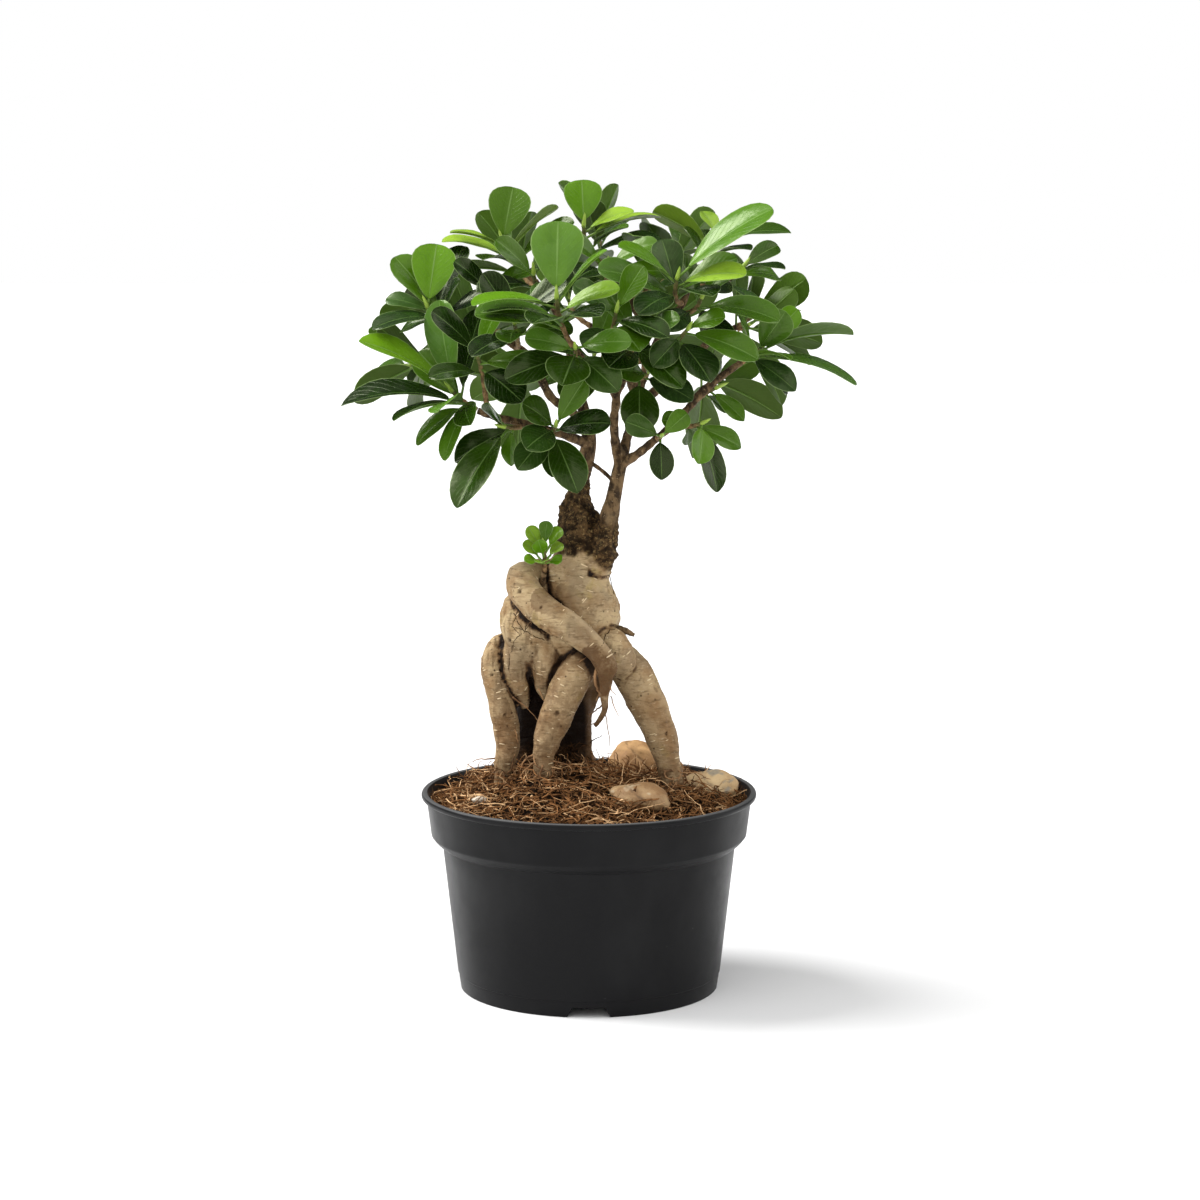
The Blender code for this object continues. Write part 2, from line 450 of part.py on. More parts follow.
def stone_object(name, stone, material, grow=0.0):
    """A pebble: a round body flattened and dented by smooth noise."""
    bm = bmesh.new()
    bmesh.ops.create_icosphere(bm, subdivisions=1 if "chip" in name else 2, radius=1)
    turn = Matrix.Rotation(math.radians(stone["turn"]), 3, "Z")
    sizes = Vector(stone["size"])
    for vert in bm.verts:
        wave = 1 + 0.22 * noise.noise(vert.co * 1.3 + Vector((stone["seed"], 0, 0)))
        shaped = Vector([vert.co[i] * (sizes[i] * wave + grow) for i in range(3)])
        vert.co = (turn @ shaped + Vector(stone["at"])) * MM
    mesh = bpy.data.meshes.new(name)
    bm.to_mesh(mesh)
    bm.free()
    obj = bpy.data.objects.new(name, mesh)
    bpy.context.scene.collection.objects.link(obj)
    obj.data.materials.append(material)
    return obj


def make_trunk(material):
    """Roots and trunk swell into each other, and the boughs grow out of them."""
    points, faces = [], []
    for stations in ROOTS.values():
        tube_points, tube_faces = tube_mesh(swollen(smooth_route(stations, 3)), 12)
        faces += [tuple(i + len(points) for i in face) for face in tube_faces]
        points += tube_points
    trunk = make_object("trunk", points, faces, material)
    swell = trunk.modifiers.new("swell", "REMESH")
    swell.mode = "VOXEL"
    swell.voxel_size = TRUNK_VOXEL * MM
    soften = trunk.modifiers.new("soften", "SMOOTH")
    soften.factor = 0.5
    soften.iterations = 3
    apply_modifiers(trunk)
    thin = trunk.modifiers.new("thin", "DECIMATE")
    thin.ratio = TRUNK_TRIANGLES / (2 * len(trunk.data.polygons))
    apply_modifiers(trunk)
    cut_flat(trunk, ROOT_END_Z)
    woody = [make_object(f"bough_{name}", *tube_mesh(stations, TWIG_SIDES), material)
             for name, stations in BOUGHS.items()]
    combine(trunk, woody, "UNION")
    trunk.data.shade_smooth()


def swollen(stations):
    """The stations with radii that make up for what the softening takes off."""
    return [(*s[:3], s[3] * ROOT_SWELL) for s in stations]


def cut_flat(obj, z):
    """Removes what is below z and closes the cut with flat faces."""
    bm = bmesh.new()
    bm.from_mesh(obj.data)
    everything = bm.verts[:] + bm.edges[:] + bm.faces[:]
    cut = bmesh.ops.bisect_plane(bm, geom=everything, plane_co=(0, 0, z * MM), plane_no=(0, 0, -1),
                                 clear_outer=True)
    rim = [item for item in cut["geom_cut"] if isinstance(item, bmesh.types.BMEdge)]
    bmesh.ops.holes_fill(bm, edges=rim, sides=0)
    bmesh.ops.triangulate(bm, faces=bm.faces[:])
    bm.to_mesh(obj.data)
    bm.free()


def bezier(start, middle, end, t):
    return start * (1 - t) ** 2 + middle * 2 * t * (1 - t) + end * t ** 2


def nearest_on_boughs(point):
    """The point of the boughs' centre lines nearest to point, and the bough's name."""
    best = None
    for name, stations in BOUGHS.items():
        for a, b in zip(stations, stations[1:]):
            start, span = Vector(a[:3]), Vector(b[:3]) - Vector(a[:3])
            t = min(max((point - start).dot(span) / span.length_squared, 0), 1)
            found = start + span * t
            away = (found - point).length
            if best is None or away < best[0]:
                best = (away, found, name)
    return best[1:]


def grow_twig(tip, axis, bough_trees, twig_trees):
    """The first twig that meets no other, tried from places further and further down the boughs."""
    for reach in TWIG_REACHES:
        twig = twig_stations(tip, axis, reach, bough_trees)
        thick = bvh_of(*tube_mesh([(*s[:3], s[3] + CLEARANCE) for s in twig], TWIG_SIDES))
        if not any(thick.overlap(tree) for tree in twig_trees):
            break
    twig_trees.append(bvh_of(*tube_mesh(twig, TWIG_SIDES)))
    return twig


def twig_stations(tip, axis, reach, bough_trees):
    """A twig that bends from the side or end of the bough below it to the shoot's growing tip."""
    start, bough = nearest_on_boughs(tip - axis * reach)
    length = (tip - start).length
    middle = tip - axis * length * 0.45
    away = GAP
    while True:
        share = away / length
        twig = []
        for t in (0.0, 0.3, 0.65, 1.0):
            radius = TWIG_RADIUS + (TWIG_END_RADIUS - TWIG_RADIUS) * t
            twig.append((*bezier(start, middle, tip, share + (1 - share) * t), radius))
        thick = [(*s[:3], s[3] + GAP * 0.6) for s in twig]
        behind = bezier(start, middle, tip, share) - bezier(start, middle, tip, share + 0.01)
        thick[0] = (*(Vector(twig[0][:3]) + behind.normalized() * GAP * 0.9), thick[0][3])
        if not bvh_of(*tube_mesh(thick, TWIG_SIDES)).overlap(bough_trees[bough]) or share > 0.5:
            return twig
        away += 0.1


def point_down(twig, distance):
    """The point of the twig's centre line at a distance below its tip, kept off its flat start."""
    points = [Vector(s[:3]) for s in twig[::-1]]
    for above, below in zip(points[:-2], points[1:-1]):
        step = (below - above).length
        if distance < step:
            return above + (below - above) * distance / step
        distance -= step
    return points[-2] + (points[-3] - points[-2]) * 0.1


def outline_width(share, hang):
    """Half the blade's width, as a share of its widest. Hang is 0 for a blade that stands, which is broad near
    its round tip, and 1 for one that hangs, which is broadest at its middle and comes to a blunt point."""
    foot, fullness, point = 0.7, 3.4 - 1.5 * hang, 0.55 + 0.17 * hang
    widest = foot / (foot + fullness * point)
    peak = widest ** (foot / fullness) * (1 - widest) ** point
    return share ** foot * max(0, 1 - share ** fullness) ** point / peak


def stalk_share(width):
    return SMALL_PETIOLE_SHARE if width < SMALL_LEAF else PETIOLE_SHARE


def leaf_frames(base, tip, axis, width, turn, shares):
    """Centre, side, face direction and half width at each station of a leaf."""
    span = tip - base
    length = span.length
    stalk = stalk_share(width)
    along = span.normalized()
    face = axis - along * axis.dot(along)
    if face.length < 0.2:
        face = Vector((0, -1, 0)) - along * -along.y
    face.normalize()
    face = Matrix.Rotation(math.radians(turn), 3, along) @ face
    arch = (0.07 + 0.13 * (1 - abs(along.z))) * length
    middle = (base + tip) / 2 + face * arch
    stations = [(0.0, PETIOLE_WIDTH / 2), (stalk, PETIOLE_WIDTH / 2 + 0.2)]
    hang = min(max(0.25 - 1.2 * along.z, 0), 1)
    stations += [(stalk + (1 - stalk) * u, outline_width(u, hang) * width / 2) for u in shares]
    stations.append((1.0, 0.0))
    frames = []
    for t, half in stations:
        centre = bezier(base, middle, tip, t)
        heading = ((middle - base) * (1 - t) + (tip - middle) * t).normalized()
        side = heading.cross(face).normalized()
        frames.append((centre, side, side.cross(heading), half))
    return frames


def leaf_mesh(frames, thickness):
    """A closed blade, split into triangles alike on both faces."""
    points, faces = [], []
    for centre, side, normal, half in frames[:-1]:
        lift = normal * thickness / 2
        points += [centre - side * half + lift, centre + side * half + lift,
                   centre + side * half - lift, centre - side * half - lift]
    tip, _, normal, _ = frames[-1]
    points += [tip + normal * thickness / 2, tip - normal * thickness / 2]
    for k in range(len(frames) - 2):
        low = 4 * k
        for j in range(4):
            a, b = low + j, low + (j + 1) % 4
            if j == 2:
                faces += [(a, a + 4, b), (b, a + 4, b + 4)]
            else:
                faces += [(a, b + 4, b), (a, a + 4, b + 4)]
    last = 4 * (len(frames) - 2)
    top, under = len(points) - 2, len(points) - 1
    faces += [(last, top, last + 1), (last + 2, under, last + 3), (0, 1, 2), (0, 2, 3)]
    faces += [(last + 1, top, under), (last + 1, under, last + 2)]
    faces += [(last + 3, under, top), (last + 3, top, last)]
    return points, faces


def spiral_leaves(axis, seed):
    """Reaches and widths of a shoot's leaves: older ones lower, wider apart and drooping, by a spiral rule."""
    side = axis.orthogonal().normalized()
    other = axis.cross(side)
    leaves = []
    for k in range(SPIRAL_LEAVES):
        age = 1 - k / (SPIRAL_LEAVES - 1)
        turn = SPIRAL_TURN * k + seed * 1.7
        lean = math.radians(22 + 62 * age)
        out = side * math.cos(turn) + other * math.sin(turn)
        length = SPIRAL_LENGTH * (1 - 0.25 * (1 - age)) * (1 + 0.1 * math.sin(seed + 2.3 * k))
        reach = (axis * math.cos(lean) + out * math.sin(lean)) * length - Vector((0, 0, 9 * age))
        leaves.append((*reach, 19 + 3 * math.sin(seed * 2 + k)))
    return leaves


def bvh_of(points, faces):
    return BVHTree.FromPolygons([tuple(p) for p in points], faces)


def corners_of_box(points):
    low = [min(p[i] for p in points) for i in range(3)]
    high = [max(p[i] for p in points) for i in range(3)]
    return low, high


class Crown:
    """Places leaves one by one and turns each clear of what is there already."""

    def __init__(self):
        self.placed = []

    def add(self, owner, whole, blade):
        self.placed.append((owner, *corners_of_box(whole[0]), bvh_of(*whole), bvh_of(*blade)))

    def blocked(self, owner, whole, blade):
        """Whether the whole leaf meets another piece, or its blade one of its own shoot's."""
        low, high = corners_of_box(whole[0])
        whole_tree, blade_tree = bvh_of(*whole), bvh_of(*blade)
        for other, other_low, other_high, other_whole, other_blade in self.placed:
            if any(high[i] < other_low[i] or other_high[i] < low[i] for i in range(3)):
                continue
            if other == owner and blade_tree.overlap(other_blade):
                return True
            if other != owner and whole_tree.overlap(other_whole):
                return True
        return False


def turned_reach(reach, axis, swing, nod):
    """The reach swung round the shoot's axis and nodded towards or from it."""
    swung = Matrix.Rotation(math.radians(swing), 3, axis) @ reach
    hinge = swung.cross(axis)
    if hinge.length < 1e-6:
        return swung
    return Matrix.Rotation(math.radians(nod), 3, hinge.normalized()) @ swung


def place_leaf(crown, name, base, tip, axis, leaf, shares):
    """Base, tip, axis, width and turn of the first variant of the leaf that crosses nothing, or None."""
    reach = tip + Vector(leaf[:3]) - base
    width = max(leaf[3], SLIMMEST * reach.length)
    turn = leaf[4] if len(leaf) > 4 else 0
    for share in SHORTENED:
        for nod in TURNS:
            for swing in TURNS:
                if abs(nod) + abs(swing) > 50:
                    continue
                end = base + turned_reach(reach, axis, swing, nod) * share
                leaf_shape = (base, end, axis, width * share ** 0.5, turn)
                frames = leaf_frames(*leaf_shape, shares)
                whole = leaf_mesh(frames, LEAF_THICKNESS + 2 * CLEARANCE)
                blade = leaf_mesh(frames[1:], LEAF_THICKNESS + 2 * CLEARANCE)
                if not crown.blocked(name, whole, blade):
                    crown.add(name, whole, blade)
                    return leaf_shape
    return None


def all_shoots():
    """Name, growing tip, axis and leaves of every shoot."""
    shoots = []
    for name, shoot in SHOOTS.items():
        shoots.append((name, Vector(shoot["at"]), Vector(shoot["axis"]).normalized(), shoot["leaves"]))
    for seed, (name, (tip, axis)) in enumerate(SPIRAL_SHOOTS.items()):
        axis = Vector(axis).normalized()
        shoots.append((name, Vector(tip), axis, spiral_leaves(axis, seed)))
    return shoots


def placed_shoots():
    """Name, growing tip, axis, twig and leaf shapes of every shoot, each leaf None if it found no room."""
    crown = Crown()
    boughs = {name: tube_mesh(stations, TWIG_SIDES) for name, stations in BOUGHS.items()}
    roots = [tube_mesh(swollen(stations), 8) for stations in ROOTS.values()]
    for solid in list(boughs.values()) + roots:
        crown.add("trunk", solid, solid)
    bough_trees = {name: bvh_of(*bough) for name, bough in boughs.items()}
    twigs, twig_trees = {}, []
    for name, tip, axis, _ in all_shoots():
        twigs[name] = grow_twig(tip, axis, bough_trees, twig_trees)
        twig = tube_mesh(twigs[name], TWIG_SIDES)
        crown.add(name, twig, twig)
    placed = []
    for name, tip, axis, leaves in all_shoots():
        shares = leaf_shares(name)
        spacing = SPROUT_SPACING if name == "sprout" else LEAF_SPACING
        shapes = []
        for k, leaf in enumerate(leaves):
            base = point_down(twigs[name], (len(leaves) - 1 - k) * spacing)
            shapes.append(place_leaf(crown, name, base, tip, axis, leaf, shares))
        placed.append((name, tip, axis, twigs[name], shapes))
    return placed


def leaf_shares(name):
    return LEAF_STATIONS if name in BROAD_SHOOTS else PLAIN_LEAF_STATIONS


def make_shoots(material):
    for name, tip, axis, twig, shapes in placed_shoots():
        stem = make_object(f"shoot_{name}", *tube_mesh(twig, TWIG_SIDES, tip + axis * BUD_LENGTH), material)
        blades = []
        for k, shape in enumerate(shapes):
            if shape is not None:
                blade = leaf_mesh(leaf_frames(*shape, leaf_shares(name)), LEAF_THICKNESS)
                blades.append(make_object(f"{name}_leaf_{k}", *blade, material))
        combine(stem, blades, "UNION")
        stem.data.shade_smooth()


def centre_on_bounds():
    """Moves every mesh sideways alike, so that the bounding box is centred over the origin."""
    points = [vert.co for obj in bpy.data.objects for vert in obj.data.vertices]
    low, high = corners_of_box(points)
    shift = Matrix.Translation((-(low[0] + high[0]) / 2, -(low[1] + high[1]) / 2, 0))
    for obj in bpy.data.objects:
        obj.data.transform(shift)


def main():
    clear_scene()
    bark = make_material("bark", (0.42, 0.33, 0.22), 0.75)
    foliage = make_material("foliage", (0.07, 0.2, 0.04), 0.35)
    plastic = make_material("pot_plastic", (0.03, 0.032, 0.033), 0.45)
    coir = make_material("coir", (0.16, 0.085, 0.045), 0.95)
    pebble = make_material("pebble", (0.45, 0.33, 0.2), 0.8)
    make_pot(plastic)
    make_soil(coir)
    for name, stone in STONES.items():
        stone_object(name, stone, pebble)
    make_trunk(bark)
    make_shoots(foliage)
    centre_on_bounds()


main()
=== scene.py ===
"""The looks of a ginseng ficus in a round nursery pot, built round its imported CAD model.

Sizes and places are in millimetres from the centre of the pot's foot, as in the part's own source,
and become metres as each mesh is made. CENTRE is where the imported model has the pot's foot.
"""

import json
import math
import random

import bmesh
import bpy
from mathutils import Matrix, Vector, kdtree, noise
from mathutils.bvhtree import BVHTree

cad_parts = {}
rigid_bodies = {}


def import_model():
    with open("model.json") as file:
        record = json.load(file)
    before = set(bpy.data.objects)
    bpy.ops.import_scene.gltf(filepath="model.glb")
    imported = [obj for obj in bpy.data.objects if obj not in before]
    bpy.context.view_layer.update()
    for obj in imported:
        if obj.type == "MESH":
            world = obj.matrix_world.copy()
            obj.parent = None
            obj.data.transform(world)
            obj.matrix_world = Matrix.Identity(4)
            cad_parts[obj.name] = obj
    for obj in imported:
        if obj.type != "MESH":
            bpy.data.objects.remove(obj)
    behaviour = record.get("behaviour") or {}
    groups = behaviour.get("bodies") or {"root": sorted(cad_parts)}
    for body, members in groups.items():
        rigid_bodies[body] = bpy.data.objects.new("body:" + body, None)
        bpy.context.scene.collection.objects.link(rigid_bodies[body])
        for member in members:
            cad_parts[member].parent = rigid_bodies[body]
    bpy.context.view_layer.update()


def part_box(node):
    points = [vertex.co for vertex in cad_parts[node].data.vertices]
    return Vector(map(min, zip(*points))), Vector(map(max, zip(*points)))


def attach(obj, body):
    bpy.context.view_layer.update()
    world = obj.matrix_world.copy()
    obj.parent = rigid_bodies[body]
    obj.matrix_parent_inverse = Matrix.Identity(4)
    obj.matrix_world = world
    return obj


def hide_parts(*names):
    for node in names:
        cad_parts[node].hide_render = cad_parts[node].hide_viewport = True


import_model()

MM = 0.001
pot_low, pot_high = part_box("pot")
CENTRE = Vector(((pot_low[0] + pot_high[0]) / 2, (pot_low[1] + pot_high[1]) / 2, 0))

GAP = 0.3  # clearance where two pieces touch

# Pot
RIM_RADIUS = 95.0
POT_HEIGHT = 113.0
FOOT_RADIUS = 73.4
COLLAR_TOP_RADIUS = 92.0
COLLAR_LOW_RADIUS = 89.5
COLLAR_LOW_Z = 88.5
WAIST_RADIUS = 83.1
WAIST_Z = 82.5
WALL = 1.6
BASE_LOW_Z = 6.2
BASE_TOP_Z = 8.0
NOTCH_COUNT = 4
NOTCH_TOP_WIDTH = 17.5
NOTCH_LOW_WIDTH = 24.0
NOTCH_HEIGHT = 5.8
DRAIN_COUNT = 6
DRAIN_RADIUS = 5.0
DRAIN_CIRCLE = 48.0

# Soil
SOIL_EDGE_Z = 107.5
SOIL_RISE = 8.0
SOIL_FLAT_RADIUS = 45.0

# Roots stand in the soil down to this height
ROOT_END_Z = 96.0

# Woody plant: stations of x, y, z and radius along each root, trunk and bough
ROOTS = {
    "body": [(-3, 6, 246, 12), (-8, 5, 236, 15.4), (-7, 4, 227, 18.8), (-6, 4, 214, 22.4), (-10, 4, 203, 22),
             (-13, 5, 192, 16), (-14, 7, 184, 10), (-14, 9, 177, 5)],
    "left_body": [(-27, 5, 236, 6.5), (-29, 3, 228, 11), (-32, 1, 218, 15), (-33, -1, 207, 16.5),
                  (-33, -1, 198, 14), (-33, 0, 191, 11), (-33, 1, 184, 7.5), (-32, 3, 177, 4)],
    "left_lobe": [(-37, -2, 202, 10.5), (-40, -2, 188, 8.2), (-40, 0, 176, 7.2), (-37, 4, 163, 4.4)],
    "middle_lobe": [(-24, -5, 200, 10), (-24, -6, 187, 8.5), (-24, -2, 174, 6.2), (-22, 3, 163, 3.2)],
    "far_left_leg": [(-43, 8, 199, 4.4), (-51, 6, 195, 5.8), (-54, 3, 187, 6.4), (-53, 0, 176, 6.4),
                     (-50, -2, 165, 7), (-47, -3, 152, 7.2), (-46, -4, 140, 6.6), (-48, -5, 128, 5.2),
                     (-49, -6, 116, 4), (-49, -6, 104, 3.4), (-49, -6, 90, 3)],
    "crossing_arm": [(-12, 10, 234, 6.5), (-21, 9, 236, 7.2), (-29, 4, 236, 8), (-37, -7, 235, 8.4),
                     (-35, -15, 228, 8.8), (-28, -21, 221, 8.7),
                     (-19, -26, 215, 8.2), (-10, -29, 209, 7), (-2, -30, 203, 6), (5, -30, 196, 5.4),
                     (9, -30, 188, 4.8), (9.5, -29.5, 180, 3.6), (8.6, -28.5, 171.5, 2.4),
                     (9, -27, 164.5, 1.8), (6.8, -25, 159, 1.6), (3.4, -22, 153.5, 1.3)],
    "haunch": [(0, -5, 203, 6), (6, -8, 201, 8), (13, -11, 197, 9.4), (16, -10, 191, 9.4), (18, -6, 186, 8),
               (18, -3, 180, 5.5)],
    "front_leg": [(5, -8, 196, 8), (-1, -13, 190, 9), (-8, -17, 181, 9.4), (-14, -20, 171, 9.4),
                  (-18, -22, 160, 8.8), (-22, -22, 149, 7.4), (-25, -21, 138, 6), (-26, -20, 126, 4.8),
                  (-27, -20, 113, 3.8), (-27, -20, 90, 3.4)],
    "right_leg": [(4, 8, 207, 5), (10, 8, 199, 7.2), (15, 6, 191, 8.8), (22, 3, 183, 10),
                  (27.5, 1, 174, 10.5), (32.8, 0, 163, 10.2),
                  (37.8, -1, 152, 9.4), (41.6, -2, 141, 8.2), (44.5, -3, 131, 7.1), (47, -4, 120, 6.1),
                  (49, -4, 108, 5), (49, -4, 90, 4.4)],
    "back_centre_leg": [(-2, 6, 197, 7), (-3, 10, 183, 8.4), (-5, 14, 168, 7), (-5.5, 16, 153, 6.6),
                        (-5, 18, 138, 6.2), (-3, 18, 125, 5.2), (-1.5, 18, 111, 4.4), (-1.5, 18, 90, 3.8)],
    "back_left_leg": [(-11, 6, 200, 6), (-12, 10, 188, 8), (-13, 14, 174, 8), (-15, 18, 156, 7.6),
                      (-17, 20, 139, 6.6), (-17, 22, 126, 6), (-17, 22, 112, 5.5), (-17, 22, 90, 5)],
    "shaded_leg": [(-20, 6, 206, 6), (-24, 9, 195, 8), (-28, 12, 183, 9), (-34, 20, 158, 9),
                   (-35, 22, 139, 8.2), (-36, 22, 122, 7), (-36, 22, 107, 6), (-36, 22, 90, 5.4)],
    "back_bulge": [(-3, 11, 225, 7), (-1, 16, 217, 11.5), (0, 20, 208, 14), (-4, 24, 194, 13),
                   (2, 23, 180, 9.5), (1, 17, 164, 7)],
    "graft_knob": [(-4, 5, 231, 10), (0, 6, 240, 12.5), (-2, 6, 249, 13.5), (-5, 6, 259, 12.6),
                   (-6, 7, 267, 11.2), (-7, 8, 275, 8.2), (-6, 9, 283, 5.8)],
    "graft_side": [(-2, 3, 229, 6), (2, 1, 238, 7.6), (6, -1, 247, 8.7), (8.5, -3, 256, 7.6),
                   (10.5, -4, 265, 6), (13, -4, 276, 4.6)],
}
LEGS = ("far_left_leg", "front_leg", "right_leg", "back_centre_leg", "back_left_leg", "shaded_leg")
BOUGHS = {
    "left_stem": [(-6, 8, 272, 6), (-6, 9, 282, 5.6), (-4, 10, 291, 4.9), (-1, 10, 303, 4.4),
                  (0, 10, 313, 3.9), (-3, 12, 328, 3.2), (-7, 14, 342, 2.8), (-11, 16, 361, 2.4),
                  (-18, 16, 382, 2.1), (-30, 12, 400, 1.8)],
    "right_stem": [(11, -4, 268, 5), (13, -4, 276, 4.3), (15, -4, 286, 3.9), (16.5, -5, 294, 3.7),
                   (17.5, -5, 300, 3.5), (15, -7, 310, 2.8), (14, -10, 324, 2.5), (15, -13, 338, 2.7),
                   (8, -18, 346, 2.2), (1, -25, 354, 2), (-8, -38, 366, 1.8)],
    "middle_bough": [(18, -4, 298, 3.3), (21, 0, 312, 2.8), (25, 4, 326, 2.6), (28, 8, 339, 2.6),
                     (32, 12, 353, 2.6), (30, 19, 374, 2.2), (20, 22, 394, 2), (8, 18, 408, 1.8)],
    "east_bough": [(33, 13, 355, 2.4), (42, 5, 374, 2.1), (52, -2, 388, 1.9), (56, 12, 399, 1.8)],
    "right_bough": [(17, -4, 298, 3), (28, -12, 306, 2.4), (37, -17, 314, 2.2), (46, -20, 322, 2.1),
                    (56, -22, 333, 2.2), (63, -22, 341, 2.4), (72, -18, 348, 2), (84, -12, 356, 1.8)],
    "front_spur": [(15, -13, 338, 2), (20, -18, 348, 1.8), (23, -26, 358, 1.5)],
    "north_west_bough": [(-2, 10, 318, 3), (-10, 4, 328, 2.6), (-21, 0, 336, 2.4), (-29, -3, 351, 2.2),
                         (-40, -6, 364, 2), (-57, -6, 373, 1.9), (-74, -6, 378, 1.7)],
    "low_west_bough": [(0, 8, 309, 3), (-16, -3, 316, 2.5), (-35, -12, 322, 2.3), (-50, -17, 326, 2.1),
                       (-61, -20, 330, 1.9)],
    "back_west_bough": [(-5, 12, 334, 2.8), (-18, 24, 346, 2.5), (-36, 38, 358, 2.2), (-52, 48, 370, 1.8)],
    "back_bough": [(27, 7, 334, 2.9), (22, 22, 346, 2.5), (10, 38, 358, 2.2), (2, 54, 372, 1.8)],
    "back_east_bough": [(26, 5, 330, 2.8), (42, 16, 342, 2.5), (58, 30, 354, 2.2), (70, 40, 366, 2),
                        (84, 36, 373, 1.7)],
    "cross_twig": [(-1, 9, 300, 1.2), (8, 3, 294, 1.1), (16, -3, 287, 1.2)],
    "sprout_stem": [(-27, -4, 226, 2), (-25, -12, 238, 1.5)],
    "waist_stub": [(13, -6, 207, 2.4), (20, -8, 205.5, 2), (25.5, -9, 203, 1)],
}
TWIG_SIDES = 5
TWIG_REACHES = (18.0, 25.0, 32.0, 40.0, 50.0, 12.0)
TWIG_RADIUS = 1.7
TWIG_END_RADIUS = 1.1
BUD_LENGTH = 9.0

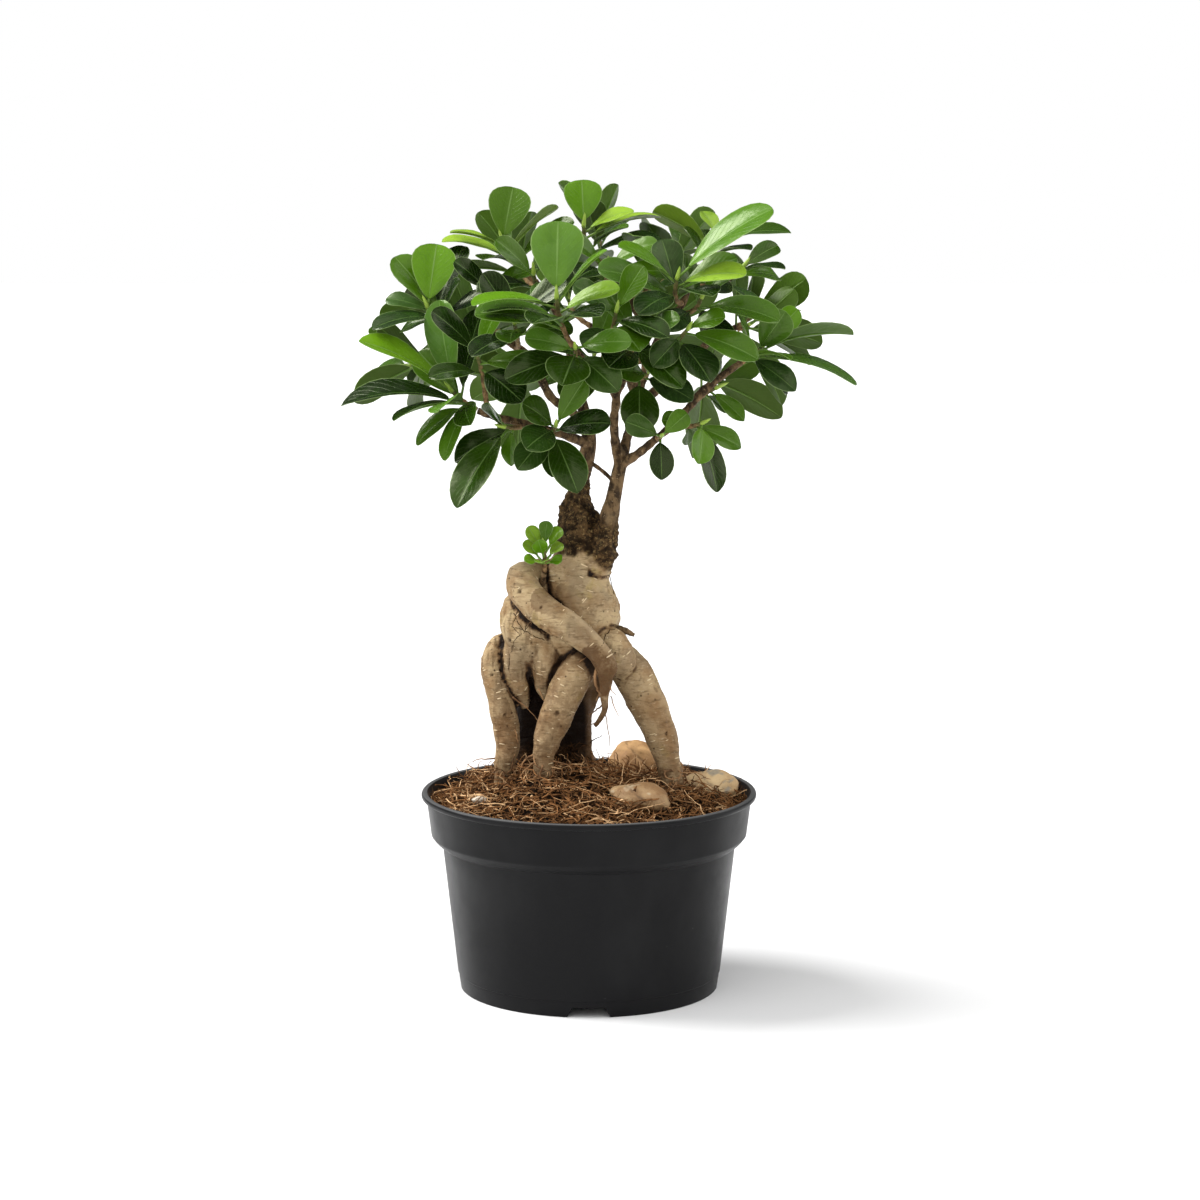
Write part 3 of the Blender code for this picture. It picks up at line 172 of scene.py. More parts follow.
# Leafy shoots: growing tip, direction, tones and leaves. A leaf is the reach of its tip from the growing tip
# (x, y, z), its width and, where it needs one, its turn about its own length in degrees. Its tone is a
# letter: d dark, m middle, h hazy green, b bright, y yellowish, l lime. The lighter tones are partly the
# leaves' own young colour and partly painted light, for light shining through backlit leaves. A capital marks
# a large old leaf and gives it a painted grey-green sheen.
SHOOTS = {
    "west_low": ((-75, -24, 341), (-0.55, -0.5, 0.65), "mmddHdmdMy", [
        (-20, 4, -30, 14), (-10, 4, -36, 12), (-32, -12, -15, 14, 20), (-60, -8, -19, 16, 25),
        (-10, -32, -10, 17), (11, -28, -16, 16), (-30, 17, 8, 14), (24, -6, 42, 14), (-7, 6, 50, 22),
        (-51, -4, 28, 15, 38)]),
    "west_up": ((-89, -8, 386), (-0.35, -0.45, 0.8), "ddddmddb", [
        (-16, 14, -14, 13), (33, -6, 7, 15), (-31, -10, -3, 13), (22, -12, 12, 15), (-29, -2, 17, 14, 15),
        (24, 14, 33, 14), (-20, 12, 9, 11), (5, 5, 35, 25, 36)]),
    "north_west": ((-48, 8, 421), (-0.25, -0.4, 0.85), "ddlllb", [
        (-10, -28, -8, 19), (40, -2, 12, 16), (-34, 5, 1, 13, 15), (31, 10, 20, 11, -45),
        (-29, -5, 6, 10, 20), (6, 4, 31, 24, 34)]),
    "front_top": ((-17, -66, 394), (-0.05, -0.5, 0.85), "mddmyyyH", [
        (-44, 2, -9, 14), (-12, -26, -12, 17), (24, -22, -8, 15), (-33, -18, -16, 16, 15), (31, -13, -3, 13),
        (-45, -11, -3, 12, 20), (27, -9, 26, 13, -25), (1, 6, 41, 29)]),
    "top": ((-3, 12, 430), (0.05, -0.35, 0.9), "dmdllb", [
        (44, 2, -8, 13), (24, -16, 0, 15), (-26, -8, -3, 15), (45, -6, -3, 10, -18), (28, 6, 9, 12),
        (-1, 4, 26, 22)]),
    "east_top": ((48, -34, 403), (0.15, -0.55, 0.8), "mddmdlbH", [
        (-43, -3, 5, 14), (3, -27, -8, 20), (-30, -14, -12, 16), (34, 2, 8, 14), (-8, 12, 21, 20),
        (37, -16, 3, 12), (-32, -14, 18, 13, 12), (52, -4, 38, 19, -16)]),
    "north_east": ((73, 32, 423), (0.2, -0.25, 0.9), "dddldl", [
        (-20, -8, 6, 18), (-8, 28, 4, 15), (18, -14, -6, 14), (-37, 6, 15, 12, 60), (41, 0, 3, 10),
        (-9, 6, 15, 14)]),
    "east_mid": ((85, 8, 407), (0.5, -0.3, 0.75), "ddmdd", [
        (10, -12, -22, 14), (-16, -18, -12, 15), (22, 22, -6, 14), (24, -8, 0, 12), (27, 2, 4, 12)]),
    "east_low": ((96, -10, 365), (0.6, -0.4, 0.65), "ddmmHmmb", [
        (14, 2, -27, 15), (22, -4, -22, 11, 40), (14, -20, -6, 14), (-14, -14, 18, 16),
        (52, -7, -21, 13, -16), (51, 6, 6, 12, -60), (12, -14, 20, 19), (20, 8, 20, 11)]),
    "east_droop": ((62, -30, 324), (0.45, -0.55, 0.3), "dmmdb", [
        (-12, 6, -12, 12), (-22, -4, 2, 12), (22, 6, -14, 13), (17, 0, -35, 14), (-2, -14, -21, 16)]),
    "east_hook": ((70, -14, 342), (0.7, -0.3, 0.3), "dmm", [
        (6, 6, -14, 10), (16, -2, -18, 11, 30), (-6, -12, 10, 16)]),
    "low_oval": ((40, -38, 318), (0.1, -0.8, 0.2), "ddm", [
        (0, -4, -24, 14), (-20, -4, 8, 13), (14, 2, 12, 12)]),
    "low_centre": ((-18, -34, 323), (0.1, -0.75, 0.5), "ddddddm", [
        (-21, -2, -24, 18), (-2, 6, -29, 9), (12, -10, -36, 21), (30, -8, 2, 14), (-16, -18, -11, 20),
        (-18, -8, 13, 17), (16, -6, 26, 15)]),
    "west_droop": ((-46, -28, 322), (-0.5, -0.6, 0.2), "dmdd", [
        (-28, 6, -20, 13), (6, 2, -22, 12), (-26, -18, -43, 21), (-8, -14, 14, 14)]),
    "front_mid": ((-7, -58, 367), (0.0, -0.8, 0.5), "dddmm", [
        (-38, 2, -17, 15), (23, -6, -23, 20), (-7, -14, -19, 25), (-27, -10, 6, 14), (30, -12, 4, 15)]),
    "front_east": ((25, -36, 371), (0.2, -0.7, 0.6), "ddmm", [
        (-14, -26, -14, 22), (26, -14, -26, 21), (24, -14, 18, 16), (-24, -12, 21, 17)]),
    "east_front": ((54, -38, 376), (0.3, -0.65, 0.55), "ddmm", [
        (12, -12, -28, 23), (-16, -10, -22, 16), (38, -8, -16, 14), (20, -12, 7, 14)]),
    "west_mid": ((-61, -32, 362), (-0.2, -0.6, 0.7), "ddmmd", [
        (-28, 0, -7, 15), (21, -12, -28, 22), (35, -7, -7, 17), (14, -9, 28, 16), (-24, -12, 24, 16)]),
    "front_west": ((-40, -44, 379), (-0.15, -0.6, 0.75), "dmmdd", [
        (-33, -7, -9, 16), (26, -7, -17, 16), (9, -26, 0, 17), (-17, -5, 28, 17), (28, -2, 24, 16)]),
    "mid_top": ((10, -14, 408), (0.05, -0.55, 0.8), "dmdmm", [
        (-31, -9, -12, 17), (35, -12, -14, 17), (0, -33, -7, 17), (-24, -9, 19, 16), (28, -7, 14, 15)]),
    "centre": ((3, -8, 360), (0.1, -0.45, 0.7), "mmdmb", [
        (-28, 9, -24, 18), (12, -24, -28, 21), (35, -9, -2, 20), (-31, -17, 7, 20), (14, -9, 38, 20)]),
    "mid_front": ((15, -48, 386), (0.1, -0.6, 0.7), "dmddm", [
        (-19, -12, -19, 20), (12, -12, -28, 24), (33, -9, -7, 17), (-24, -7, 12, 17), (15, -5, 25, 16)]),
    "east_inner": ((62, -20, 392), (0.2, -0.5, 0.75), "dmddm", [
        (-21, -12, -17, 18), (42, -9, -19, 16), (14, -17, -24, 21), (-17, -9, 19, 17), (19, 2, 21, 16)]),
    "west_inner": ((-30, -22, 405), (-0.1, -0.55, 0.8), "dddmd", [
        (-31, -7, -9, 17), (24, -14, -14, 18), (-7, -21, -17, 20), (-21, -2, 19, 16), (19, 2, 20, 16)]),
    "west_centre": ((-54, -14, 396), (-0.2, -0.5, 0.8), "ddmdm", [
        (-28, -8, -12, 17), (24, -12, -16, 18), (-6, -22, -16, 19), (-20, -2, 16, 15), (18, 4, 20, 15)]),
    "east_centre": ((33, -26, 352), (0.1, -0.7, 0.45), "ddmm", [
        (5, -9, -33, 22), (24, -9, -15, 17), (-19, -9, 9, 17), (17, -5, 24, 17)]),
    "sprout": ((-25, -15, 252), (-0.1, -0.45, 0.7), "ybyyybyymb", [
        (-11, -1, -6, 9), (10, -2, -6, 9), (-1, -9, -6, 9), (-13, 1, 2, 8.5), (12, 3, 1, 9),
        (-4, -7, 7, 9), (-9, 1, 13, 9), (10, 1, 12, 9.5), (3, 3, 16, 8.5), (-2, 9, 8, 8)]),
}

# Shoots at the back and inside the crown, where leaves follow the spiral rule alone
SPIRAL_SHOOTS = {
    "back_west_top": ((-42, 40, 410), (-0.4, 0.3, 0.85)),
    "back_top": ((6, 46, 424), (0.0, 0.35, 0.9)),
    "back_east_top": ((50, 54, 410), (0.35, 0.4, 0.8)),
    "back_west": ((-84, 36, 382), (-0.75, 0.35, 0.5)),
    "back_far_west": ((-66, 68, 366), (-0.55, 0.7, 0.45)),
    "back_low_west": ((-42, 60, 342), (-0.4, 0.8, 0.1)),
    "back": ((-12, 78, 386), (-0.1, 0.8, 0.6)),
    "back_east": ((44, 76, 372), (0.4, 0.75, 0.5)),
    "back_far_east": ((94, 52, 378), (0.8, 0.4, 0.45)),
    "back_low_east": ((72, 54, 342), (0.6, 0.65, 0.1)),
    "east_back": ((90, 34, 374), (0.7, 0.5, 0.3)),
    "inner_east": ((34, 14, 404), (0.1, -0.1, 0.9)),
    "west_back": ((-100, 24, 352), (-0.8, 0.5, 0.05)),
}

# Shoots whose large leaves show on the outline have one more row of corners in each leaf
BROAD_SHOOTS = ("west_low", "west_up", "north_west", "front_top", "top", "east_top")
SPIRAL_LEAVES = 5
SPIRAL_TURN = math.radians(137.5)
SPIRAL_LENGTH = 45.0
LEAF_SPACING = 3.4
SPROUT_SPACING = 1.5
SLIMMEST = 0.46  # a leaf is at least this wide, as a share of its length
PETIOLE_SHARE = 0.14
SMALL_LEAF = 10.0  # a leaf narrower than this has a longer stalk for its size
SMALL_PETIOLE_SHARE = 0.36
LEAF_THICKNESS = 0.8
PETIOLE_WIDTH = 1.5
LEAF_STATIONS = (0.3, 0.64, 0.91)
PLAIN_LEAF_STATIONS = (0.38, 0.8)
CLEARANCE = 0.6
TURNS = (0, 9, -9, 18, -18, 28, -28, 40, -40)
SHORTENED = (1.0, 0.86, 0.72)
ROOT_SWELL = 1.07
STONES = {
    "stone_front": {"at": (28, -43, 117), "size": (17.5, 12, 8.5), "turn": -8, "seed": 3},
    "stone_right": {"at": (70, 8, 113.5), "size": (16, 12, 9), "turn": -14, "seed": 11},
    "stone_back": {"at": (26, 46, 121), "size": (14, 12, 10.5), "turn": 12, "seed": 23},
    "chip": {"at": (-61, -32, 113.5), "size": (4.2, 3, 2.4), "turn": 20, "seed": 31},
}


def ring_points(centre, across, up, radius, sides):
    turns = (2 * math.pi * k / sides for k in range(sides))
    return [centre + (across * math.cos(a) + up * math.sin(a)) * radius for a in turns]


def level_ring(radius, z, sides):
    return ring_points(Vector((0, 0, z)), Vector((1, 0, 0)), Vector((0, 1, 0)), radius, sides)


def tube_mesh(stations, sides, closing_point=None):
    """Points and faces of a closed tube through (centre, radius) stations, with an optional pointed end."""
    centres = [Vector(s[:3]) for s in stations]
    radii = [s[3] for s in stations]
    points, faces = [], []
    across = None
    for k, centre in enumerate(centres):
        along = (centres[min(k + 1, len(centres) - 1)] - centres[max(k - 1, 0)]).normalized()
        if across is None:
            across = along.orthogonal().normalized()
        across = (across - along * across.dot(along)).normalized()
        points += ring_points(centre, across, along.cross(across), radii[k], sides)
    for k in range(len(centres) - 1):
        low = k * sides
        for j in range(sides):
            a, b = low + j, low + (j + 1) % sides
            faces += [(a, b, b + sides), (a, b + sides, a + sides)]
    last = (len(centres) - 1) * sides
    faces.append(tuple(reversed(range(sides))))
    if closing_point is None:
        faces.append(tuple(range(last, last + sides)))
    else:
        points.append(Vector(closing_point))
        tip = len(points) - 1
        faces += [(last + j, last + (j + 1) % sides, tip) for j in range(sides)]
    return points, faces


def smooth_route(stations, steps):
    """Catmull-Rom points between the stations, radius included."""
    rows = [Vector(s) for s in stations]
    rows = [rows[0] * 2 - rows[1]] + rows + [rows[-1] * 2 - rows[-2]]
    route = []
    for k in range(1, len(rows) - 2):
        a, b, c, d = rows[k - 1:k + 3]
        for j in range(steps):
            t = j / steps
            route.append(0.5 * (2 * b + (c - a) * t + (2 * a - 5 * b + 4 * c - d) * t ** 2
                                + (3 * b - a - 3 * c + d) * t ** 3))
    return route + [rows[-2]]


def turned_mesh(profile, sides):
    """A closed solid turned about Z from a loop of (radius, z), whose points on the axis are single."""
    points, rings = [], []
    for radius, z in profile:
        if radius == 0:
            rings.append([len(points)] * sides)
            points.append(Vector((0, 0, z)))
        else:
            rings.append(list(range(len(points), len(points) + sides)))
            points += level_ring(radius, z, sides)
    faces = []
    for k, ring in enumerate(rings):
        after = rings[(k + 1) % len(rings)]
        for j in range(sides):
            corners = (ring[j], ring[(j + 1) % sides], after[(j + 1) % sides], after[j])
            face = tuple(dict.fromkeys(corners))
            if len(face) > 2:
                faces.append(face)
    return points, faces


def bump(x, y, centre, spread):
    """A round hill of height 1."""
    return math.exp(-((x - centre[0]) ** 2 + (y - centre[1]) ** 2) / (2 * spread ** 2))


def soil_height(x, y):
    """The soil's surface: level inside, lower at the rim, heaped under the front leg, hollow beside it."""
    t = min(max((math.hypot(x, y) - SOIL_FLAT_RADIUS) / SOIL_FLAT_RADIUS, 0), 1)
    level = SOIL_EDGE_Z + SOIL_RISE * (1 - t * t * (3 - 2 * t))
    heap = 11 * bump(x, y, (-18, -10), 28)
    hollows = 6 * bump(x, y, (-62, -16), 10) + 4 * bump(x, y, (38, -58), 7)
    rough = 0.9 * noise.noise(Vector((x, y, 0)) / 9) * (1 - t)
    return level + heap - hollows + rough


def swollen(stations):
    """The stations with radii that make up for what the softening takes off."""
    return [(*s[:3], s[3] * ROOT_SWELL) for s in stations]


def bezier(start, middle, end, t):
    return start * (1 - t) ** 2 + middle * 2 * t * (1 - t) + end * t ** 2


def nearest_on_boughs(point):
    """The point of the boughs' centre lines nearest to point, and the bough's name."""
    best = None
    for name, stations in BOUGHS.items():
        for a, b in zip(stations, stations[1:]):
            start, span = Vector(a[:3]), Vector(b[:3]) - Vector(a[:3])
            t = min(max((point - start).dot(span) / span.length_squared, 0), 1)
            found = start + span * t
            away = (found - point).length
            if best is None or away < best[0]:
                best = (away, found, name)
    return best[1:]


def grow_twig(tip, axis, bough_trees, twig_trees):
    """The first twig that meets no other, tried from places further and further down the boughs."""
    for reach in TWIG_REACHES:
        twig = twig_stations(tip, axis, reach, bough_trees)
        thick = bvh_of(*tube_mesh([(*s[:3], s[3] + CLEARANCE) for s in twig], TWIG_SIDES))
        if not any(thick.overlap(tree) for tree in twig_trees):
            break
    twig_trees.append(bvh_of(*tube_mesh(twig, TWIG_SIDES)))
    return twig


def twig_stations(tip, axis, reach, bough_trees):
    """A twig that bends from the side or end of the bough below it to the shoot's growing tip."""
    start, bough = nearest_on_boughs(tip - axis * reach)
    length = (tip - start).length
    middle = tip - axis * length * 0.45
    away = GAP
    while True:
        share = away / length
        twig = []
        for t in (0.0, 0.3, 0.65, 1.0):
            radius = TWIG_RADIUS + (TWIG_END_RADIUS - TWIG_RADIUS) * t
            twig.append((*bezier(start, middle, tip, share + (1 - share) * t), radius))
        thick = [(*s[:3], s[3] + GAP * 0.6) for s in twig]
        behind = bezier(start, middle, tip, share) - bezier(start, middle, tip, share + 0.01)
        thick[0] = (*(Vector(twig[0][:3]) + behind.normalized() * GAP * 0.9), thick[0][3])
        if not bvh_of(*tube_mesh(thick, TWIG_SIDES)).overlap(bough_trees[bough]) or share > 0.5:
            return twig
        away += 0.1


def point_down(twig, distance):
    """The point of the twig's centre line at a distance below its tip, kept off its flat start."""
    points = [Vector(s[:3]) for s in twig[::-1]]
    for above, below in zip(points[:-2], points[1:-1]):
        step = (below - above).length
        if distance < step:
            return above + (below - above) * distance / step
        distance -= step
    return points[-2] + (points[-3] - points[-2]) * 0.1


def outline_width(share, hang):
    """Half the blade's width, as a share of its widest. Hang is 0 for a blade that stands, which is broad
    near its round tip, and 1 for one that hangs, which is broadest at its middle and bluntly pointed."""
    foot, fullness, point = 0.7, 3.4 - 1.5 * hang, 0.55 + 0.17 * hang
    widest = foot / (foot + fullness * point)
    peak = widest ** (foot / fullness) * (1 - widest) ** point
    return share ** foot * max(0, 1 - share ** fullness) ** point / peak


def stalk_share(width):
    return SMALL_PETIOLE_SHARE if width < SMALL_LEAF else PETIOLE_SHARE


def leaf_frames(base, tip, axis, width, turn, shares):
    """Centre, side, face direction and half width at each station of a leaf."""
    span = tip - base
    length = span.length
    stalk = stalk_share(width)
    along = span.normalized()
    face = axis - along * axis.dot(along)
    if face.length < 0.2:
        face = Vector((0, -1, 0)) - along * -along.y
    face.normalize()
    face = Matrix.Rotation(math.radians(turn), 3, along) @ face
    arch = (0.07 + 0.13 * (1 - abs(along.z))) * length
    middle = (base + tip) / 2 + face * arch
    stations = [(0.0, PETIOLE_WIDTH / 2), (stalk, PETIOLE_WIDTH / 2 + 0.2)]
    hang = min(max(0.25 - 1.2 * along.z, 0), 1)
    stations += [(stalk + (1 - stalk) * u, outline_width(u, hang) * width / 2) for u in shares]
    stations.append((1.0, 0.0))
    frames = []
    for t, half in stations:
        centre = bezier(base, middle, tip, t)
        heading = ((middle - base) * (1 - t) + (tip - middle) * t).normalized()
        side = heading.cross(face).normalized()
        frames.append((centre, side, side.cross(heading), half))
    return frames


def leaf_mesh(frames, thickness):
    """A closed blade, split into triangles alike on both faces."""
    points, faces = [], []
    for centre, side, normal, half in frames[:-1]:
        lift = normal * thickness / 2
        points += [centre - side * half + lift, centre + side * half + lift,
                   centre + side * half - lift, centre - side * half - lift]
    tip, _, normal, _ = frames[-1]
    points += [tip + normal * thickness / 2, tip - normal * thickness / 2]
    for k in range(len(frames) - 2):
        low = 4 * k
        for j in range(4):
            a, b = low + j, low + (j + 1) % 4
            if j == 2:
                faces += [(a, a + 4, b), (b, a + 4, b + 4)]
            else:
                faces += [(a, b + 4, b), (a, a + 4, b + 4)]
    last = 4 * (len(frames) - 2)
    top, under = len(points) - 2, len(points) - 1
    faces += [(last, top, last + 1), (last + 2, under, last + 3), (0, 1, 2), (0, 2, 3)]
    faces += [(last + 1, top, under), (last + 1, under, last + 2)]
    faces += [(last + 3, under, top), (last + 3, top, last)]
    return points, faces


def spiral_leaves(axis, seed):
    """Reaches and widths of a shoot's leaves by a spiral rule: the older, the lower and more drooping."""
    side = axis.orthogonal().normalized()
    other = axis.cross(side)
    leaves = []
    for k in range(SPIRAL_LEAVES):
        age = 1 - k / (SPIRAL_LEAVES - 1)
        turn = SPIRAL_TURN * k + seed * 1.7
        lean = math.radians(22 + 62 * age)
        out = side * math.cos(turn) + other * math.sin(turn)
        length = SPIRAL_LENGTH * (1 - 0.25 * (1 - age)) * (1 + 0.1 * math.sin(seed + 2.3 * k))
        reach = (axis * math.cos(lean) + out * math.sin(lean)) * length - Vector((0, 0, 9 * age))
        leaves.append((*reach, 19 + 3 * math.sin(seed * 2 + k)))
    return leaves


def bvh_of(points, faces):
    return BVHTree.FromPolygons([tuple(p) for p in points], faces)


def corners_of_box(points):
    low = [min(p[i] for p in points) for i in range(3)]
    high = [max(p[i] for p in points) for i in range(3)]
    return low, high


class Crown:
    """Places leaves one by one and turns each clear of what is there already."""

    def __init__(self):
        self.placed = []

    def add(self, owner, whole, blade):
        self.placed.append((owner, *corners_of_box(whole[0]), bvh_of(*whole), bvh_of(*blade)))

    def blocked(self, owner, whole, blade):
        """Whether the whole leaf meets another piece, or its blade one of its own shoot's."""
        low, high = corners_of_box(whole[0])
        whole_tree, blade_tree = bvh_of(*whole), bvh_of(*blade)
        for other, other_low, other_high, other_whole, other_blade in self.placed:
            if any(high[i] < other_low[i] or other_high[i] < low[i] for i in range(3)):
                continue
            if other == owner and blade_tree.overlap(other_blade):
                return True
            if other != owner and whole_tree.overlap(other_whole):
                return True
        return False


def turned_reach(reach, axis, swing, nod):
    """The reach swung round the shoot's axis and nodded towards or from it."""
    swung = Matrix.Rotation(math.radians(swing), 3, axis) @ reach
    hinge = swung.cross(axis)
    if hinge.length < 1e-6:
        return swung
    return Matrix.Rotation(math.radians(nod), 3, hinge.normalized()) @ swung


def place_leaf(crown, name, base, tip, axis, leaf, shares):
    """Base, tip, axis, width and turn of the first variant of the leaf that crosses nothing, or None."""
    reach = tip + Vector(leaf[:3]) - base
    width = max(leaf[3], SLIMMEST * reach.length)
    turn = leaf[4] if len(leaf) > 4 else 0
    for share in SHORTENED:
        for nod in TURNS:
            for swing in TURNS:
                if abs(nod) + abs(swing) > 50:
                    continue
                end = base + turned_reach(reach, axis, swing, nod) * share
                leaf_shape = (base, end, axis, width * share ** 0.5, turn)
                frames = leaf_frames(*leaf_shape, shares)
                whole = leaf_mesh(frames, LEAF_THICKNESS + 2 * CLEARANCE)
                blade = leaf_mesh(frames[1:], LEAF_THICKNESS + 2 * CLEARANCE)
                if not crown.blocked(name, whole, blade):
                    crown.add(name, whole, blade)
                    return leaf_shape
    return None


def all_shoots():
    """Name, growing tip, axis and leaves of every shoot."""
    shoots = []
    for name, (tip, axis, _, leaves) in SHOOTS.items():
        shoots.append((name, Vector(tip), Vector(axis).normalized(), leaves))
    for seed, (name, (tip, axis)) in enumerate(SPIRAL_SHOOTS.items()):
        axis = Vector(axis).normalized()
        shoots.append((name, Vector(tip), axis, spiral_leaves(axis, seed)))
    return shoots


def placed_shoots():
    """Name, growing tip, axis, twig and leaf shapes of every shoot, each leaf None if it found no room."""
    crown = Crown()
    boughs = {name: tube_mesh(stations, TWIG_SIDES) for name, stations in BOUGHS.items()}
    roots = [tube_mesh(swollen(stations), 8) for stations in ROOTS.values()]
    for solid in list(boughs.values()) + roots:
        crown.add("trunk", solid, solid)
    bough_trees = {name: bvh_of(*bough) for name, bough in boughs.items()}
    twigs, twig_trees = {}, []
    for name, tip, axis, _ in all_shoots():
        twigs[name] = grow_twig(tip, axis, bough_trees, twig_trees)
        twig = tube_mesh(twigs[name], TWIG_SIDES)
        crown.add(name, twig, twig)
    placed = []
    for name, tip, axis, leaves in all_shoots():
        shares = leaf_shares(name)
        spacing = SPROUT_SPACING if name == "sprout" else LEAF_SPACING
        shapes = []
        for k, leaf in enumerate(leaves):
            base = point_down(twigs[name], (len(leaves) - 1 - k) * spacing)
            shapes.append(place_leaf(crown, name, base, tip, axis, leaf, shares))
        placed.append((name, tip, axis, twigs[name], shapes))
    return placed


def leaf_shares(name):
    return LEAF_STATIONS if name in BROAD_SHOOTS else PLAIN_LEAF_STATIONS


# Camera, fitted to the photograph, and light: each sun's place, spread in degrees and strength
CAMERA_PLACE = (6.25, -1783.0, 478.0)
CAMERA_PITCH = 8.18
CAMERA_LENS = 96
CAMERA_SENSOR = 36
SKY_LIGHT = 0.1
FRONT_LIGHT = 1.75
SUNS = {"key": ((-700, 170, 780), 34, 4.0), "fill": ((850, 50, 460), 60, 1.6)}
FLOOR_REACH = 9000

# Leaf looks
LEAF_ROWS = 13
LEAF_COLUMNS = 8
BLADE_THICKNESS = 0.5
LEAF_FOLD = 0.34
MARGIN_WAVE = 0.4
MARGIN_THINNING = 0.55
RIB_RADIUS = 0.78
RIB_TAPER = 0.55
RIB_STEPS = 8
TONE_LEVELS = {"d": 0.04, "m": 0.33, "h": 0.42, "b": 0.5, "y": 0.84, "l": 1.0}
TONE_SPREAD = 0.24
SPIRAL_TONES = "dddmm"

# Marks that show on the front of the trunk, as points (x, z), and holes as (x, z, radius)
CREASES = (
    ((-39.7, 217.7), (-42.4, 209), (-38.6, 205), (-41.9, 200.6), (-44.1, 192), (-45.2, 182.3)),
    ((-38, 217.7), (-34.1, 212), (-35.8, 206.8), (-41.9, 209)),
    ((7.4, 201), (9.4, 204.3), (12, 206.8), (18.6, 207.6)),
    ((-42, 216), (-37, 208), (-31, 204), (-24, 201)),
    ((-31, 213), (-34.5, 209), (-38, 204)),
    ((-30, 209), (-26, 205), (-21, 203.5)),
    ((11, 236), (13, 231), (14, 224)),
)
HOLES = ((-17.6, 162.5, 1.9), (-54.6, 180, 1.3), (-44.6, 200.6, 1.0), (-26.4, 222, 1.1), (-38.5, 230, 1.2),
         (44, 147, 1.0), (-20, 148, 1.0), (-47, 158, 0.9))
CREASE_RADIUS = 0.3

# Ridges along the crossing root and its hanging end, and the thin ends of two lobes
FOLDS = (
    ((-24, -25, 224, 2), (-13, -29, 219.5, 2.4), (-3, -32.5, 212, 2.4), (5, -34, 204, 2.4),
     (11.5, -34, 195, 2.3), (14, -33, 188, 2), (12, -32, 182, 1.2)),
    ((2, -34, 196, 1.6), (6, -34.5, 190, 1.8), (8, -33, 182, 1.3), (8.4, -31, 175, 0.9)),
    ((2, 19, 176, 8), (0.5, 18, 167, 6.6), (-1.5, 18, 158, 5), (-3, 18, 148, 3)),
    ((-39, 1, 173, 6.4), (-37.5, 3, 165, 4.6), (-36.8, 4.2, 159, 2.4)),
)
ROUTE_STEPS = 4
SHADE_REACH = 26.0
GROOVE_REACH = 9.0
TRUNK_GRAIN = 1.05
SHADE_RAYS = 26
EVENING_STEPS = 26
LENTICELS = 260
HAIRS_AT_A_FOOT = 20
HAIRS_IN_THE_SHADE = 90

# Each stone's pale, warm and patch colours
STONE_COLOURS = {
    "stone_front": ((0.38, 0.25, 0.125), (0.22, 0.12, 0.05), (0.43, 0.34, 0.22)),
    "stone_right": ((0.54, 0.39, 0.21), (0.37, 0.235, 0.11), (0.22, 0.21, 0.175)),
    # The back stone's colours are made lighter to make up for the shade the plant casts on it: painted light.
    "stone_back": ((0.54, 0.32, 0.14), (0.36, 0.19, 0.075), (0.56, 0.38, 0.21)),
    "chip": ((0.66, 0.6, 0.5), (0.5, 0.42, 0.32), (0.7, 0.66, 0.58)),
}

# Corners of the pot and the soil, and what is strewn on it: how many a square metre, sizes, tilt and seed
POT_SIDES = 160
SOIL_RINGS = 64
SOIL_SIDES = 168
CRUMB_KINDS = 7
FIBRE_KINDS = 26
STREWN = {
    "coir_crumbs": (110000, (0.45, 1.9), 3.1, 3),
    "coir_fibres": (64000, (0.6, 1.3), 0.42, 8),
    "pale_fibres": (22000, (0.5, 1.25), 0.55, 19),
}

# Aerial roots under the arch, by their stations, and stray hairs: start, heading, length, thickness
HAIRS = (
    ((4.6, -27, 189, 0.9), (3.4, -28, 181, 0.9), (5.2, -27.5, 175, 0.8), (7.2, -26, 170, 0.6)),
    ((7.6, -25, 166, 0.5), (4, -24, 163, 0.4), (0.4, -21, 160, 0.25)),
    ((5.9, -24, 158, 0.45), (3.6, -22, 155.5, 0.35), (1, -20, 154, 0.2)),
    ((9, -26, 163, 0.35), (10.6, -25.5, 153, 0.28), (11.8, -25, 143, 0.15)),
    ((12.4, -24, 171, 0.35), (14, -23, 165, 0.3), (16.8, -22, 159, 0.15)),
    ((-43, -9, 168, 0.45), (-39, -10, 165, 0.4), (-34, -9, 161.5, 0.25)),
    ((-28, -11, 173, 0.4), (-26, -12, 168, 0.35), (-23, -12, 164, 0.2)),
    ((-17, -15, 183, 0.35), (-9, -22, 187.5, 0.35), (-1.5, -25, 193, 0.25)),
    ((-15, -14, 188, 0.3), (-10, -19, 191, 0.3), (-4, -23, 191, 0.2)),
    ((-44, -8, 152, 0.4), (-41, -9, 147, 0.4), (-40, -9, 141, 0.25)),
)
STRAY_HAIRS = (
    ((-12, -18, 186), (0.6, -0.4, 0.5), 15, 0.28), ((-8, -21, 192), (-0.5, -0.5, -0.6), 12, 0.25),
    ((-30, -13, 214), (0.5, -0.5, 0.1), 12, 0.25), ((-34, -14, 212), (0.7, -0.3, -0.6), 12, 0.25),
    ((-33, -14, 216), (-0.2, -0.4, -1), 14, 0.22), ((8, -31, 186), (0.5, -0.3, -0.9), 12, 0.4),
    ((11, -29, 184), (0.2, 0.1, -1), 13, 0.45), ((9, -30, 179), (-0.5, -0.1, -0.8), 11, 0.3),
    ((-52, -9, 196), (-0.8, -0.3, 0.4), 6, 0.2), ((-24, -6, 158), (0.4, -0.6, -0.7), 16, 0.3),
    ((-36, 2, 160), (0.6, -0.7, -0.4), 16, 0.3), ((14, -12, 128), (0.1, 0, 1), 12, 0.25),
)


